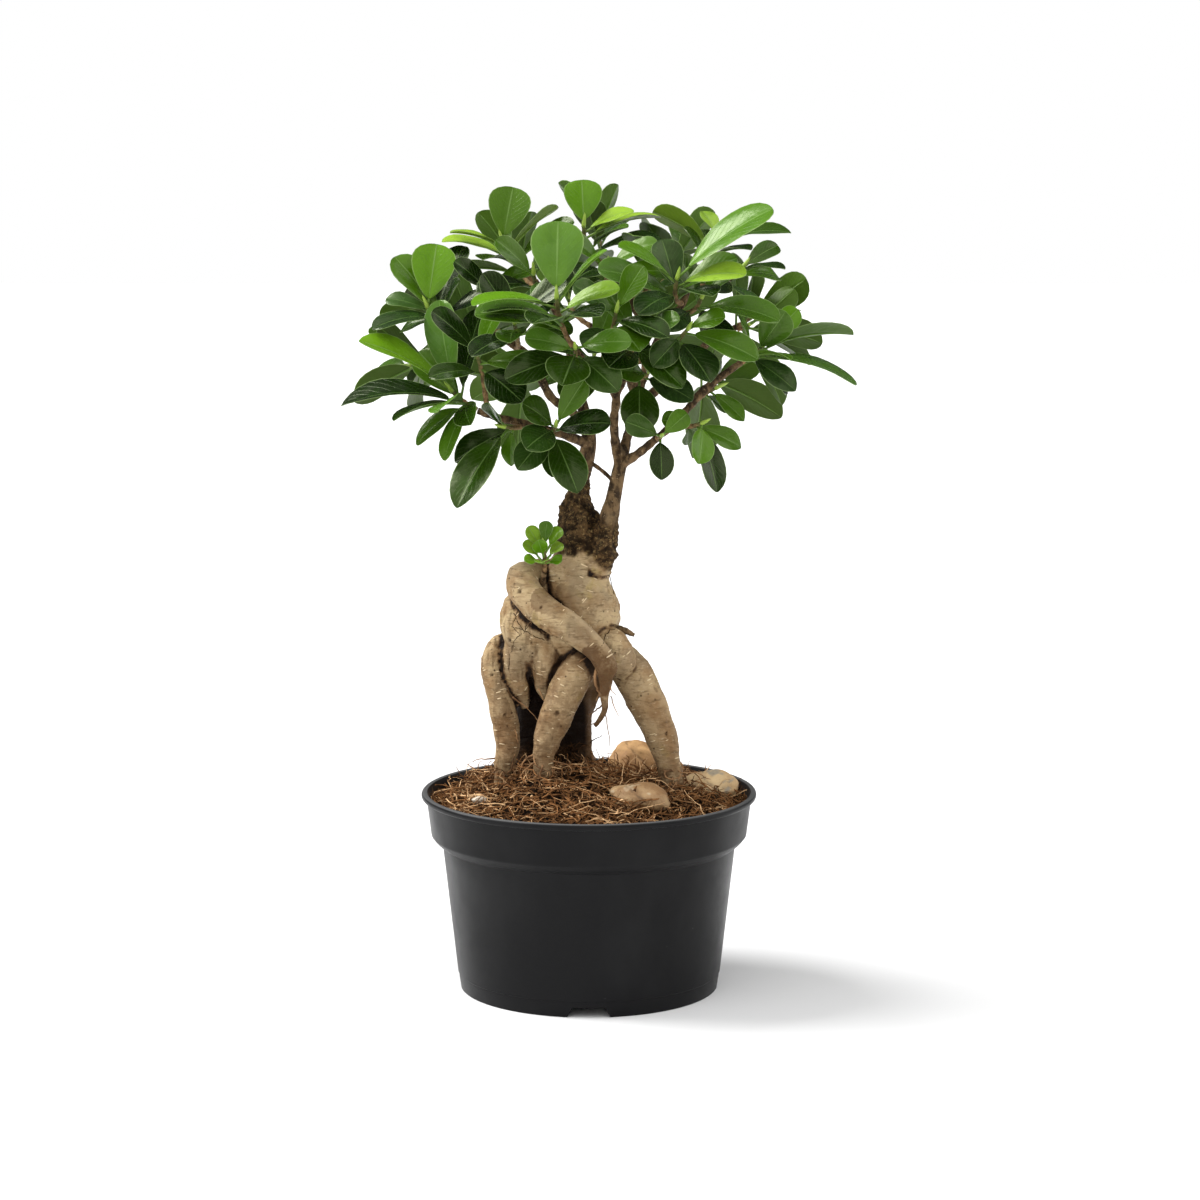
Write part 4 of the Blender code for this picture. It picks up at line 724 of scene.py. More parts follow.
def feed(tree, slot, value):
    """Links a field or a socket to an input, or writes a constant there."""
    if isinstance(value, Field):
        value = value.socket
    if isinstance(value, bpy.types.NodeSocket):
        tree.links.new(value, slot)
    else:
        slot.default_value = value


def add_node(tree, kind, settings=None, values=(), **named):
    """A new node with its settings, and with its inputs fed in their order and by name."""
    node = tree.nodes.new(kind)
    for key, value in (settings or {}).items():
        setattr(node, key, value)
    for slot, value in zip(node.inputs, values):
        feed(tree, slot, value)
    for key, value in named.items():
        feed(tree, node.inputs[key.replace("_", " ")], value)
    return node


class Field:
    """A number that varies over a surface: a node's output, with arithmetic written as operators."""

    def __init__(self, tree, socket):
        self.tree = tree
        self.socket = socket

    def math(self, operation, *values):
        node = add_node(self.tree, "ShaderNodeMath", {"operation": operation}, values)
        return Field(self.tree, node.outputs[0])

    def __add__(self, other):
        return self.math("ADD", self, other)

    def __sub__(self, other):
        return self.math("SUBTRACT", self, other)

    def __rsub__(self, other):
        return self.math("SUBTRACT", other, self)

    def __mul__(self, other):
        return self.math("MULTIPLY", self, other)

    def __abs__(self):
        return self.math("ABSOLUTE", self)

    def sine(self):
        return self.math("SINE", self)

    def steps(self, low, high, start=0.0, end=1.0):
        """start up to low, end from high on, and smooth between."""
        node = add_node(self.tree, "ShaderNodeMapRange", {"interpolation_type": "SMOOTHSTEP"},
                        (self, low, high, start, end))
        return Field(self.tree, node.outputs[0])


class Look:
    """A Principled material whose colour, roughness and relief come from procedural nodes."""

    def __init__(self, name, colour, roughness, **constants):
        self.data = bpy.data.materials.new(name)
        self.data.use_nodes = True
        self.tree = self.data.node_tree
        self.shader = self.tree.nodes["Principled BSDF"]
        self.set("Base Color", (*colour, 1))
        self.set("Roughness", roughness)
        for key, value in constants.items():
            self.set(key.replace("_", " "), value)
        self.place = self.add("ShaderNodeTexCoord").outputs["Object"]

    def add(self, kind, settings=None, values=(), **named):
        return add_node(self.tree, kind, settings, values, **named)

    def set(self, name, value):
        feed(self.tree, self.shader.inputs[name], value)

    def spot(self, stretch=(1, 1, 1)):
        """Object coordinates in millimetres, multiplied by stretch along each axis."""
        scale = [s / MM for s in stretch]
        return self.add("ShaderNodeVectorMath", {"operation": "MULTIPLY"}, (self.place, scale)).outputs[0]

    def noise(self, size, detail=3.0, roughness=0.55, stretch=(1, 1, 1), distortion=0.0):
        """Noise from 0 to 1 whose lumps are about size millimetres across."""
        place = self.spot([s / size for s in stretch])
        node = self.add("ShaderNodeTexNoise", Vector=place, Scale=1.0, Detail=detail, Roughness=roughness,
                        Distortion=distortion)
        return Field(self.tree, node.outputs[0])

    def cells(self, size):
        """Distance to the nearest of scattered points about size millimetres apart."""
        node = self.add("ShaderNodeTexVoronoi", Vector=self.spot([1 / size] * 3), Scale=1.0)
        return Field(self.tree, node.outputs[0])

    def parts(self, kind, source):
        """The three numbers of a place or a colour."""
        split = self.add(kind, values=[source])
        return [Field(self.tree, split.outputs[i]) for i in range(3)]

    def height(self):
        """Millimetres above the floor."""
        return self.parts("ShaderNodeSeparateXYZ", self.spot())[2]

    def channels(self, name):
        """The three numbers that a mesh holds at each point under this name."""
        source = self.add("ShaderNodeAttribute", {"attribute_name": name})
        return self.parts("ShaderNodeSeparateColor", source.outputs["Color"])

    def across(self):
        """Where a point lies along and across its leaf, each from 0 to 1."""
        source = self.add("ShaderNodeUVMap", {"uv_map": "blade"})
        return self.parts("ShaderNodeSeparateXYZ", source.outputs[0])[:2]

    def mix(self, shade, *layers):
        """The first colour with each layer's colour laid over it by its share."""
        for colour, share in layers:
            node = self.add("ShaderNodeMix", {"data_type": "RGBA"}, [share])
            for slot, value in zip(node.inputs[6:8], (shade, colour)):
                feed(self.tree, slot, (*value, 1) if isinstance(value, tuple) else value)
            shade = node.outputs[2]
        return shade

    def relief(self, *layers):
        """Stacks bumps, each a height from 0 to 1 with its depth in millimetres."""
        normal = None
        for height, depth in layers:
            node = self.add("ShaderNodeBump", Height=height, Distance=depth * MM, Strength=1.0)
            if normal is not None:
                feed(self.tree, node.inputs["Normal"], normal)
            normal = node.outputs[0]
        self.set("Normal", normal)


def leaf_look():
    look = Look("leaf", (0.03, 0.1, 0.01), 0.34, Specular_IOR_Level=0.3, Specular_Tint=(0.9, 1.0, 0.55, 1),
                Coat_Weight=0.03, Coat_Roughness=0.12)
    along, across = look.across()
    tone, under, chance = look.channels("zone")
    off_rib = abs(across - 0.5)
    # Painted sheen: a grey-green sheen painted on capital-lettered leaves, and on some others by chance, as
    # of light reflected off them.
    painted_sheen = chance.steps(0.45, 1.0) * (look.noise(8, 4).steps(0.3, 0.7) * 0.5 + 0.35)
    vein_wave = (along * 56 - off_rib * 46 + look.noise(7) * 2.2).sine()
    veins = vein_wave.steps(0.78, 1.0) * off_rib.steps(0.02, 0.08)
    rib = off_rib.steps(0.01, 0.026, 1.0, 0.0)
    # The tone sets the colour from dark to lime; its lighter end is partly the leaves' own young colour and
    # partly painted light through backlit leaves.
    look.set("Base Color", look.mix(
        (0.004, 0.014, 0.0004),
        ((0.043, 0.108, 0.002), tone.steps(0.0, 0.36)),
        ((0.085, 0.21, 0.002), tone.steps(0.33, 0.68)),
        ((0.27, 0.42, 0.035), tone.steps(0.7, 1.0)),
        ((0.09, 0.18, 0.05), painted_sheen * (1 - tone) * 0.75),
        ((0.025, 0.085, 0.003), look.noise(12, 3).steps(0.5, 0.8) * 0.4),
        ((0.16, 0.3, 0.03), (1 - along).steps(0.55, 1.0) * tone * 0.5),
        ((0.12, 0.22, 0.06), veins * 0.07),
        ((0.18, 0.3, 0.08), rib * (tone * 0.4 + 0.33)),
        ((0.24, 0.34, 0.12), off_rib.steps(0.47, 0.492) * 0.6),
        ((0.065, 0.13, 0.008), under * 0.5)))
    look.set("Roughness", look.noise(5, 3).steps(0.3, 0.75, 0.2, 0.3) + under * 0.25)
    look.relief((veins, 0.05), (rib, 0.12), (look.noise(2.2, 3), 0.06), (look.noise(11, 2), 0.5))
    return look.data


def twig_look():
    look = Look("twig", (0.15, 0.09, 0.05), 0.75, Specular_IOR_Level=0.2)
    look.set("Base Color", look.mix(
        (0.08, 0.042, 0.017),
        ((0.3, 0.18, 0.078), look.noise(3, 4).steps(0.35, 0.65)),
        ((0.09, 0.13, 0.035), look.channels("zone")[0])))
    look.relief((look.noise(1.1, 4), 0.25), (look.noise(4, 2, stretch=(1, 1, 3)), 0.3))
    return look.data


def bud_look():
    look = Look("bud", (0.36, 0.5, 0.06), 0.4)
    look.set("Base Color", look.mix((0.2, 0.34, 0.03), ((0.45, 0.6, 0.1), look.noise(3))))
    return look.data


def bark_look():
    """Smooth tan skin on the swollen roots, rough and dark at the graft, reddish brown on the boughs, with
    painted shade in the recesses, cracks and knob hollows and a painted highlight on the ridges.
    """
    look = Look("bark", (0.25, 0.18, 0.11), 0.7, Specular_IOR_Level=0.12)
    graft, bough, furrow = look.channels("zone")
    earth_and_darkening, shaded, crack = look.channels("wear")
    crest = look.channels("crest")[0]
    rings = look.noise(2.8, 4, 0.6, stretch=(0.4, 0.4, 1.9), distortion=0.6)
    specks = look.cells(4.6).steps(0.07, 0.16, 1.0, 0.0) * look.noise(10).steps(0.4, 0.55)
    skin = look.mix(
        (0.25, 0.15, 0.068),
        ((0.44, 0.325, 0.178), look.noise(15, 4).steps(0.34, 0.62)),
        ((0.23, 0.175, 0.105), look.noise(24, 3, stretch=(1, 1, 0.7)).steps(0.48, 0.66) * 0.6),
        ((0.32, 0.235, 0.07), look.noise(13, 3, stretch=(1.3, 1, 1)).steps(0.58, 0.72) * 0.5),
        ((0.16, 0.085, 0.036), look.height().steps(150, 215, 0.4, 0.0)),
        ((0.1, 0.058, 0.026), rings.steps(0.5, 0.72) * 0.68),
        ((0.52, 0.41, 0.26), look.noise(1.9, 4, 0.7, stretch=(0.5, 0.5, 1.6)).steps(0.56, 0.74) * 0.6),
        ((0.1, 0.055, 0.025), look.noise(5, 4, 0.65).steps(0.56, 0.72) * 0.5),
        # Painted highlight: ridges that stand out are painted lighter.
        ((0.5, 0.38, 0.23), crest * 0.45),
        ((0.04, 0.02, 0.009), specks * 0.9),
        ((0.07, 0.038, 0.017), furrow * 0.75),
        # Cracks, holes and knob hollows are painted dark: painted shade in them.
        ((0.03, 0.015, 0.007), crack * 0.9),
        # Painted shade: darker where neighbouring roots would shade the bark, in grooves, hollows and between
        # the roots.
        ((0.1, 0.05, 0.02), shaded.steps(0.0, 0.5) * 0.85),
        ((0.006, 0.0025, 0.001), shaded.steps(0.35, 0.85) * 0.98),
        ((0.1, 0.05, 0.02), earth_and_darkening * look.noise(4, 4, 0.65).steps(0.3, 0.58) * 0.85))
    rough_bark = look.mix(
        (0.013, 0.006, 0.0022),
        ((0.14, 0.078, 0.03), look.noise(2.8, 5, 0.7).steps(0.4, 0.62)),
        ((0.4, 0.27, 0.11), look.noise(1.9, 4, 0.7).steps(0.54, 0.67) * 0.8),
        # The hollows between the knobs are painted dark: painted shade.
        ((0.014, 0.007, 0.003), crack * 0.9))
    stem = look.mix(
        (0.042, 0.025, 0.012),
        ((0.195, 0.122, 0.059), look.noise(3.4, 5, stretch=(1, 1, 0.5)).steps(0.38, 0.62)),
        ((0.48, 0.34, 0.19), look.noise(1.9, 4, 0.7).steps(0.58, 0.7) * 0.7))
    look.set("Base Color", look.mix(skin, (rough_bark, graft * 0.94), (stem, bough)))
    look.set("Roughness", look.noise(8, 3).steps(0.3, 0.7, 0.52, 0.74) + graft * 0.2)
    look.relief((rings * (1 - graft), 0.85), (1 - specks, 0.5), (look.noise(0.9, 3), 0.12),
                (look.noise(6, 3), 0.9), (look.noise(2.2, 5, 0.75) * (graft + bough * 0.4), 2.6))
    return look.data


def lenticel_look():
    look = Look("lenticel", (0.6, 0.48, 0.3), 0.8, Specular_IOR_Level=0.2)
    look.set("Base Color", look.mix((0.42, 0.3, 0.16), ((0.78, 0.64, 0.42), look.noise(6, 3))))
    return look.data


def soil_look():
    look = Look("coir", (0.1, 0.05, 0.03), 0.95, Specular_IOR_Level=0.05)
    bits = look.cells(2.2).steps(0.12, 0.26, 1.0, 0.0) * look.noise(6).steps(0.45, 0.6)
    look.set("Base Color", look.mix(
        (0.003, 0.0015, 0.0007),
        ((0.06, 0.026, 0.009), look.noise(2.6, 5, 0.7).steps(0.44, 0.72)),
        ((0.24, 0.12, 0.04), bits)))
    look.relief((look.noise(1.6, 5, 0.75), 1.4), (look.noise(0.6, 2), 0.3))
    return look.data


def crumb_look():
    look = Look("coir_crumb", (0.1, 0.05, 0.03), 0.95, Specular_IOR_Level=0.08)
    look.set("Base Color", look.mix(
        (0.006, 0.003, 0.001),
        ((0.2, 0.088, 0.03), look.noise(3.2, 4, 0.7).steps(0.42, 0.66)),
        ((0.46, 0.25, 0.09), look.noise(5, 2).steps(0.6, 0.72) * 0.8)))
    look.relief((look.noise(0.8, 3, 0.7), 0.5))
    return look.data


def fibre_look(name, dark, pale):
    look = Look(name, pale, 0.85, Specular_IOR_Level=0.1)
    look.set("Base Color", look.mix(dark, (pale, look.noise(8, 3).steps(0.32, 0.62))))
    look.relief((look.noise(0.8, 2), 0.15))
    return look.data


def pebble_look(name, pale, warm, patch):
    look = Look(name, pale, 0.72, Specular_IOR_Level=0.3)
    look.set("Base Color", look.mix(
        warm,
        (pale, look.noise(12, 4).steps(0.35, 0.64)),
        (patch, look.noise(15, 3, stretch=(1, 1, 1.6)).steps(0.56, 0.64) * 0.75),
        ((0.12, 0.075, 0.04), look.noise(2.2, 4, 0.7).steps(0.55, 0.75) * 0.5),
        # Darker along the stone's groove: painted shade in the crease.
        ((0.05, 0.03, 0.018), look.channels("zone")[0] * 0.85)))
    look.set("Roughness", look.noise(6).steps(0.3, 0.7, 0.55, 0.8))
    look.relief((look.noise(4, 4), 0.7), (look.noise(0.9, 4, 0.7), 0.22))
    return look.data


def pot_look():
    """Matt black plastic with faint dust, few pale specks and a painted highlight along the lip."""
    look = Look("pot_plastic", (0.018, 0.018, 0.0195), 0.42, Specular_IOR_Level=0.12, Sheen_Weight=0.06,
                Sheen_Roughness=0.3)
    look.set("Base Color", look.mix(
        (0.004, 0.004, 0.0045),
        ((0.009, 0.009, 0.0095), look.noise(60, 4, stretch=(1, 1, 0.6)).steps(0.42, 0.75)),
        ((0.12, 0.12, 0.12), look.cells(16).steps(0.012, 0.03, 1.0, 0.0) * 0.5),
        # A pale band along the lip: a painted highlight.
        ((0.14, 0.14, 0.14), look.height().steps(POT_HEIGHT - 0.8, POT_HEIGHT - 0.2) * 0.55)))
    look.set("Roughness", look.noise(26, 4).steps(0.3, 0.7, 0.36, 0.47))
    look.relief((look.noise(0.7, 2), 0.05), (look.noise(45, 2), 0.35))
    return look.data


def floor_look():
    look = Look("floor", (0.76, 0.76, 0.76), 0.9)
    look.set("Base Color", look.mix((0.755, 0.755, 0.755), ((0.765, 0.765, 0.765), look.noise(90))))
    return look.data


def in_scene(name, data):
    obj = bpy.data.objects.new(name, data)
    bpy.context.scene.collection.objects.link(obj)
    return obj


def new_object(name, points, faces, materials, smooth=True):
    mesh = bpy.data.meshes.new(name)
    mesh.from_pydata([Vector(p) * MM + CENTRE for p in points], [], faces)
    mesh.update()
    for material in materials:
        mesh.materials.append(material)
    if smooth:
        mesh.shade_smooth()
    return in_scene(name, mesh)


def enlist(obj, slot, *nodes):
    """Sets the piece to ride on the root body and hides the CAD nodes it stands for. The slot is not used."""
    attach(obj, "root")
    if nodes:
        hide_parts(*nodes)
    return obj


def give_numbers(obj, name, rows):
    """Stores three numbers at each point, for a material to read."""
    layer = obj.data.attributes.new(name, "FLOAT_COLOR", "POINT")
    layer.data.foreach_set("color", [v for row in rows for v in (*row, 1.0)])


def evaluated_mesh(obj):
    bpy.context.view_layer.update()
    graph = bpy.context.evaluated_depsgraph_get()
    return bpy.data.meshes.new_from_object(obj.evaluated_get(graph))


def apply_modifiers(obj):
    mesh = evaluated_mesh(obj)
    obj.modifiers.clear()
    obj.data = mesh


def soften(obj, iterations):
    smooth = obj.modifiers.new("soften", "SMOOTH")
    smooth.factor = 0.5
    smooth.iterations = iterations


def places_of(mesh):
    """The points of a mesh in millimetres from the middle of the pot's foot."""
    return [(vert.co - CENTRE) / MM for vert in mesh.vertices]


def surface_of(mesh):
    return BVHTree.FromPolygons(places_of(mesh), [tuple(face.vertices) for face in mesh.polygons])


def ring_faces(first, second, sides):
    """The faces between two rings of points, given by each ring's first point."""
    return [(first + j, second + j, second + (j + 1) % sides, first + (j + 1) % sides) for j in range(sides)]


class Body:
    """Collects the points, faces, materials and point numbers of one mesh."""

    def __init__(self):
        self.points, self.faces, self.kinds, self.zones, self.blade = [], [], [], [], []

    def take(self, points, faces, kind=0, zones=(0.0, 0.0, 0.0), blade=None):
        """Adds points and faces of one material. One zone may stand for all the points."""
        start = len(self.points)
        self.points += points
        self.faces += [tuple(i + start for i in face) for face in faces]
        self.kinds += [kind] * len(faces)
        self.zones += zones if isinstance(zones, list) else [zones] * len(points)
        self.blade += blade or [(0.5, 0.5)] * len(points)

    def build(self, name, materials):
        obj = new_object(name, self.points, self.faces, materials)
        obj.data.polygons.foreach_set("material_index", self.kinds)
        give_numbers(obj, "zone", self.zones)
        uv = obj.data.uv_layers.new(name="blade")
        corners = [0] * len(obj.data.loops)
        obj.data.loops.foreach_get("vertex_index", corners)
        uv.data.foreach_set("uv", [v for i in corners for v in self.blade[i]])
        return obj


def fine_leaf(body, shape, tone, chance):
    """A thin blade with a groove along its rib, a waved margin and a ribbed underside."""
    rows = [0.012] + [(1 - math.cos(math.pi * (k + 0.6) / LEAF_ROWS)) / 2 for k in range(LEAF_ROWS)]
    rows = [u for u in rows if u < 0.98] + [0.985, 0.9985]
    frames = leaf_frames(*shape, rows)
    blade = frames[2:-1]
    wave = chance * 6.3
    droop = 0.08 + 0.12 * chance
    upper, lower, upper_blade = [], [], []
    for (centre, side, normal, half), u in zip(blade, rows):
        half = max(half, PETIOLE_WIDTH * 0.4)
        for k in range(LEAF_COLUMNS + 1):
            v = 2 * k / LEAF_COLUMNS - 1
            lift = half * (LEAF_FOLD * abs(v) - droop * v * v)
            lift += MARGIN_WAVE * abs(v) ** 3 * math.sin(9 * u + wave + 2 * v)
            thick = BLADE_THICKNESS * (1 - MARGIN_THINNING * v * v) / 2
            point = centre + side * half * v + normal * lift
            upper.append(point + normal * thick)
            lower.append(point - normal * thick)
            upper_blade.append((u, k / LEAF_COLUMNS))
    wide = LEAF_COLUMNS + 1
    faces, under_faces = [], []
    for r in range(len(blade) - 1):
        for k in range(LEAF_COLUMNS):
            a = r * wide + k
            faces.append((a, a + 1, a + wide + 1, a + wide))
            under_faces.append((a, a + wide, a + wide + 1, a + 1))
    body.take(upper, faces, 0, (tone, 0.0, chance), upper_blade)
    body.take(lower, under_faces, 0, (tone, 1.0, chance), upper_blade)
    rim = [r * wide for r in range(len(blade))]
    rim += [(len(blade) - 1) * wide + k for k in range(1, wide)]
    rim += [r * wide + wide - 1 for r in range(len(blade) - 2, -1, -1)]
    rim += list(range(wide - 2, 0, -1))
    count = len(rim)
    edge = [upper[i] for i in rim] + [lower[i] for i in rim]
    edge_faces = [(k, (k + 1) % count, (k + 1) % count + count, k + count) for k in range(count)]
    body.take(edge, edge_faces, 0, (tone, 0.3, chance), [(0.5, 0.99)] * len(edge))
    rib = []
    stalk = stalk_share(shape[3])
    for k in range(RIB_STEPS + 1):
        t = k / RIB_STEPS
        reach = max(0.0, (t * 0.94 - stalk) / (1 - stalk))
        centre, _, normal, _ = leaf_frames(*shape, [reach])[0 if k == 0 else 2]
        radius = RIB_RADIUS - RIB_TAPER * t
        sink = max(0.0, radius - BLADE_THICKNESS / 2 + 0.06) if t > 0.12 else 0.1
        rib.append((*(centre - normal * sink), radius))
    body.take(*tube_mesh(rib, 6), 0, (min(tone + 0.3, 1.0), 0.7, chance))


def fine_twig(body, twig, tip, axis):
    """The twig with rings where leaves have dropped, and the pointed bud at its end."""
    route = smooth_route(twig, 5)
    stations = []
    for k, row in enumerate(route):
        swell = 1.16 if k % 3 == 1 else 0.98
        stations.append((*row[:3], row[3] * swell * 0.92))
    points, faces = tube_mesh(stations, 9)
    green = [((i // 9) / len(stations)) ** 3 for i in range(len(points))]
    body.take(points, faces, 1, [(g, 0.0, 0.0) for g in green])
    bend = axis.orthogonal().normalized()
    bud = []
    for k in range(7):
        t = k / 6
        place = tip + axis * (BUD_LENGTH * t * 0.97) + bend * math.sin(t * 2.2) * 0.5
        bud.append((*place, (TWIG_END_RADIUS * 1.1) * (1 - t) ** 0.7 * (1 + 0.5 * t) + 0.08))
    body.take(*tube_mesh(bud, 8, tip + axis * BUD_LENGTH), 2)


def make_fine_shoots():
    materials = [leaf_look(), twig_look(), bud_look()]
    rng = random.Random(5)
    for name, tip, axis, twig, shapes in placed_shoots():
        tones = SHOOTS[name][2] if name in SHOOTS else SPIRAL_TONES
        body = Body()
        fine_twig(body, twig, tip, axis)
        for shape, letter in zip(shapes, tones):
            # A capital's leaf gets the full painted sheen.
            chance = 1.0 if letter.isupper() else rng.random() * 0.8
            if shape is not None:
                tone = TONE_LEVELS[letter.lower()] + (rng.random() - 0.5) * TONE_SPREAD
                fine_leaf(body, shape, min(max(tone, 0), 1), chance)
        enlist(body.build(f"leaves_{name}", materials), "foliage", f"shoot_{name}")


def route_tree():
    """Finds the nearest point of the roots' routes, with its distance along the root and its radius."""
    rows = []
    for stations in list(ROOTS.values()) + list(FOLDS):
        travelled, before = 0.0, None
        for row in smooth_route(stations, ROUTE_STEPS):
            place = Vector(row[:3])
            if before is not None:
                travelled += (place - before).length
            before = place
            rows.append((place, travelled, row[3]))
    tree = kdtree.KDTree(len(rows))
    for k, row in enumerate(rows):
        tree.insert(row[0], k)
    tree.balance()
    return tree, rows


def ramp(value, low, high):
    t = min(max((value - low) / (high - low), 0), 1)
    return t * t * (3 - 2 * t)


def near_hole(place):
    """1 inside a hole of the trunk's front, falling to 0 at its rim."""
    for x, z, radius in HOLES:
        away = math.hypot(place.x - x, place.z - z)
        if away < radius * 1.5:
            return 1 - ramp(away + 0.5 * noise.noise(place / 1.2), radius * 0.45, radius)
    return 0.0


def sphere_directions(count):
    directions = []
    for k in range(count):
        z = 1 - (2 * k + 1) / count
        turn = k * math.pi * (3 - math.sqrt(5))
        flat = math.sqrt(1 - z * z)
        directions.append(Vector((flat * math.cos(turn), flat * math.sin(turn), z)))
    return directions


def shaded_share(tree, place, normal, directions):
    """How much its neighbours hide a point, above all from overhead, from 0 to 1, far out and close by."""
    wide, narrow, tried = 0.0, 0.0, 0.0
    start = place + normal * 0.6
    for direction in directions:
        slant = direction.dot(normal)
        if slant < 0.12:
            continue
        weight = slant * (0.45 + max(0, direction.z))
        tried += weight
        distance = tree.ray_cast(start, direction, SHADE_REACH)[3]
        if distance is not None:
            wide += weight * (1 - 0.6 * distance / SHADE_REACH)
            narrow += weight * (1 - ramp(distance, 2, GROOVE_REACH))
    return (wide / tried, narrow / tried) if tried else (0.0, 0.0)


def lens(place, along, normal, length, width):
    """A low raised dash on the bark."""
    side = normal.cross(along).normalized()
    points = [place + normal * width * 0.5]
    for ring, lift in ((0.55, 0.38), (1.0, -0.25)):
        for k in range(8):
            turn = math.pi * k / 4
            reach = along * math.cos(turn) * length * ring + side * math.sin(turn) * width * ring
            points.append(place + reach + normal * width * lift)
    faces = [(0, 1 + k, 1 + (k + 1) % 8) for k in range(8)]
    faces += ring_faces(1, 9, 8)
    faces.append(tuple(9 + k for k in reversed(range(8))))
    return points, faces


def evened_places(obj):
    """Where each point would lie with the creases and ridges smoothed away."""
    soften(obj, EVENING_STEPS)
    mesh = evaluated_mesh(obj)
    obj.modifiers.clear()
    places = places_of(mesh)
    bpy.data.meshes.remove(mesh)
    return places


def crack_stations(surface, line, rng):
    """Stations of a thin dark line that lies in the skin of the trunk's front."""
    stations = []
    for (x0, z0), (x1, z1) in zip(line[:-1], line[1:]):
        steps = max(2, round(math.hypot(x1 - x0, z1 - z0) / 1.2))
        for k in range(steps):
            x = x0 + (x1 - x0) * k / steps + rng.gauss(0, 0.25)
            z = z0 + (z1 - z0) * k / steps + rng.gauss(0, 0.25)
            spot = surface.ray_cast(Vector((x, -80, z)), Vector((0, 1, 0)))[0]
            if spot is not None:
                thick = CREASE_RADIUS * rng.uniform(0.5, 1.2)
                stations.append((spot.x, spot.y + thick * 0.4, spot.z, thick))
    return stations


def swollen_trunk(bark):
    """Roots, graft and the feet of the stems as one even skin, cut off where the soil hides it."""
    tubes = Body()
    feet = [[s for s in stations if s[3] > 2.7] for stations in BOUGHS.values()]
    feet = [stations for stations in feet if len(stations) > 1]
    for stations in list(ROOTS.values()) + feet + list(FOLDS):
        tubes.take(*tube_mesh(swollen(smooth_route(stations, ROUTE_STEPS)), 16))
    trunk = new_object("ficus_trunk", tubes.points, tubes.faces, [bark])
    swell = trunk.modifiers.new("swell", "REMESH")
    swell.mode = "VOXEL"
    swell.voxel_size = TRUNK_GRAIN * MM
    soften(trunk, 3)
    apply_modifiers(trunk)
    trim(trunk, ROOT_END_Z)
    return trunk


def bark_relief(place, normal, travelled, radius):
    """How far the bark stands out at a point, and how much it is graft, bough, furrow and crack there."""
    stout = ramp(radius, 1.5, 6)
    edge = place.z + 4 * noise.noise(place / 6) + 2.5 * noise.noise(place / 2.5) + max(0, place.x + 1) * 0.8
    graft = ramp(edge, 246, 251)
    bough = ramp(place.z, 288, 296) if place.x < 6 else ramp(place.z, 262, 274)
    lumps = (noise.noise(place / 14) * 0.9 + noise.noise(place / 5.5) * 0.45) * stout
    wrinkle = math.sin(travelled * 1.7 + 4 * noise.noise(place / 6))
    wrinkle *= ramp(noise.noise(place / 8), -0.15, 0.3)
    furrow = 0.0
    if place.x < -20 and place.z > 165 and place.y < 8:
        furrow = ramp(noise.noise(Vector((place.x / 2.1, place.y / 2.1, place.z / 26))), 0.05, 0.45)
        furrow *= ramp(place.z, 165, 180) * (1 - ramp(place.z, 214, 222)) * 0.8
    crack = ramp(noise.noise(Vector((place.x / 3, place.y / 3, place.z / 12)) + Vector((7, 3, 1))), 0.5, 0.6)
    crack *= 0.3 * (1 - graft) * ramp(noise.noise(place / 17 + Vector((4, 4, 4))), 0.0, 0.2)
    if normal.y < 0.2 and place.y < 8:
        crack = max(crack, near_hole(place))
    height = (lumps + 0.25 * wrinkle * stout - 0.6 * furrow - 1.1 * crack) * (1 - bough)
    knobs = 1.9 * noise.noise(place / 5.2) + 1.7 * abs(noise.noise(place / 2.4 + Vector((2, 2, 2))))
    height += graft * (1 - bough) * (knobs - 0.6)
    # The hollows between the knobs count as crack, to be painted dark as the shade in them.
    crack = max(crack, graft * (1 - bough) * (1 - ramp(knobs, -0.75, 0.3)))
    return height, graft, bough, furrow, crack


def earth_and_darkening_on(place):
    """How earthy a root is at its foot, and how much darker it is up the front leg and at the crossing root's
    end.
    """
    earth_and_darkening = 1 - ramp(place.z + 7 * noise.noise(place / 6), 120, 140)
    if place.y < -8 and place.x < 8:
        earth_and_darkening = max(earth_and_darkening, 0.6 * (1 - ramp(place.z + 9 * noise.noise(place / 9), 168, 196)))
    if place.y < -24 and place.x > 2:
        earth_and_darkening = max(earth_and_darkening, 0.95 * (1 - ramp(place.z + 7 * noise.noise(place / 7), 190, 206)))
    return earth_and_darkening


def depth_of_shade(place, normal, radius, dip, shade, groove, bough):
    """How deep in the shade of its neighbours the bark lies, in grooves and between the roots above all."""
    inner = ramp(place.y + 2 * noise.noise(place / 5), 1, 10) * ramp(-normal.y, -0.25, 0.25)
    inner *= (1 - ramp(place.z, 178, 196)) * (1 - 0.55 * ramp(place.x, -5, 1)) * ramp(place.x, -56, -48)
    narrow = ramp(groove + 0.12 * noise.noise(place / 3), 0.08, 0.36)
    recess = max(ramp(shade, 0.24, 0.66), 0.97 * narrow, inner, 0.85 * ramp(dip, 0.08, 0.45) * (1 - bough))
    return max(recess, 0.5 * (1 - ramp(radius, 1.2, 3.2)) * (1 - bough))


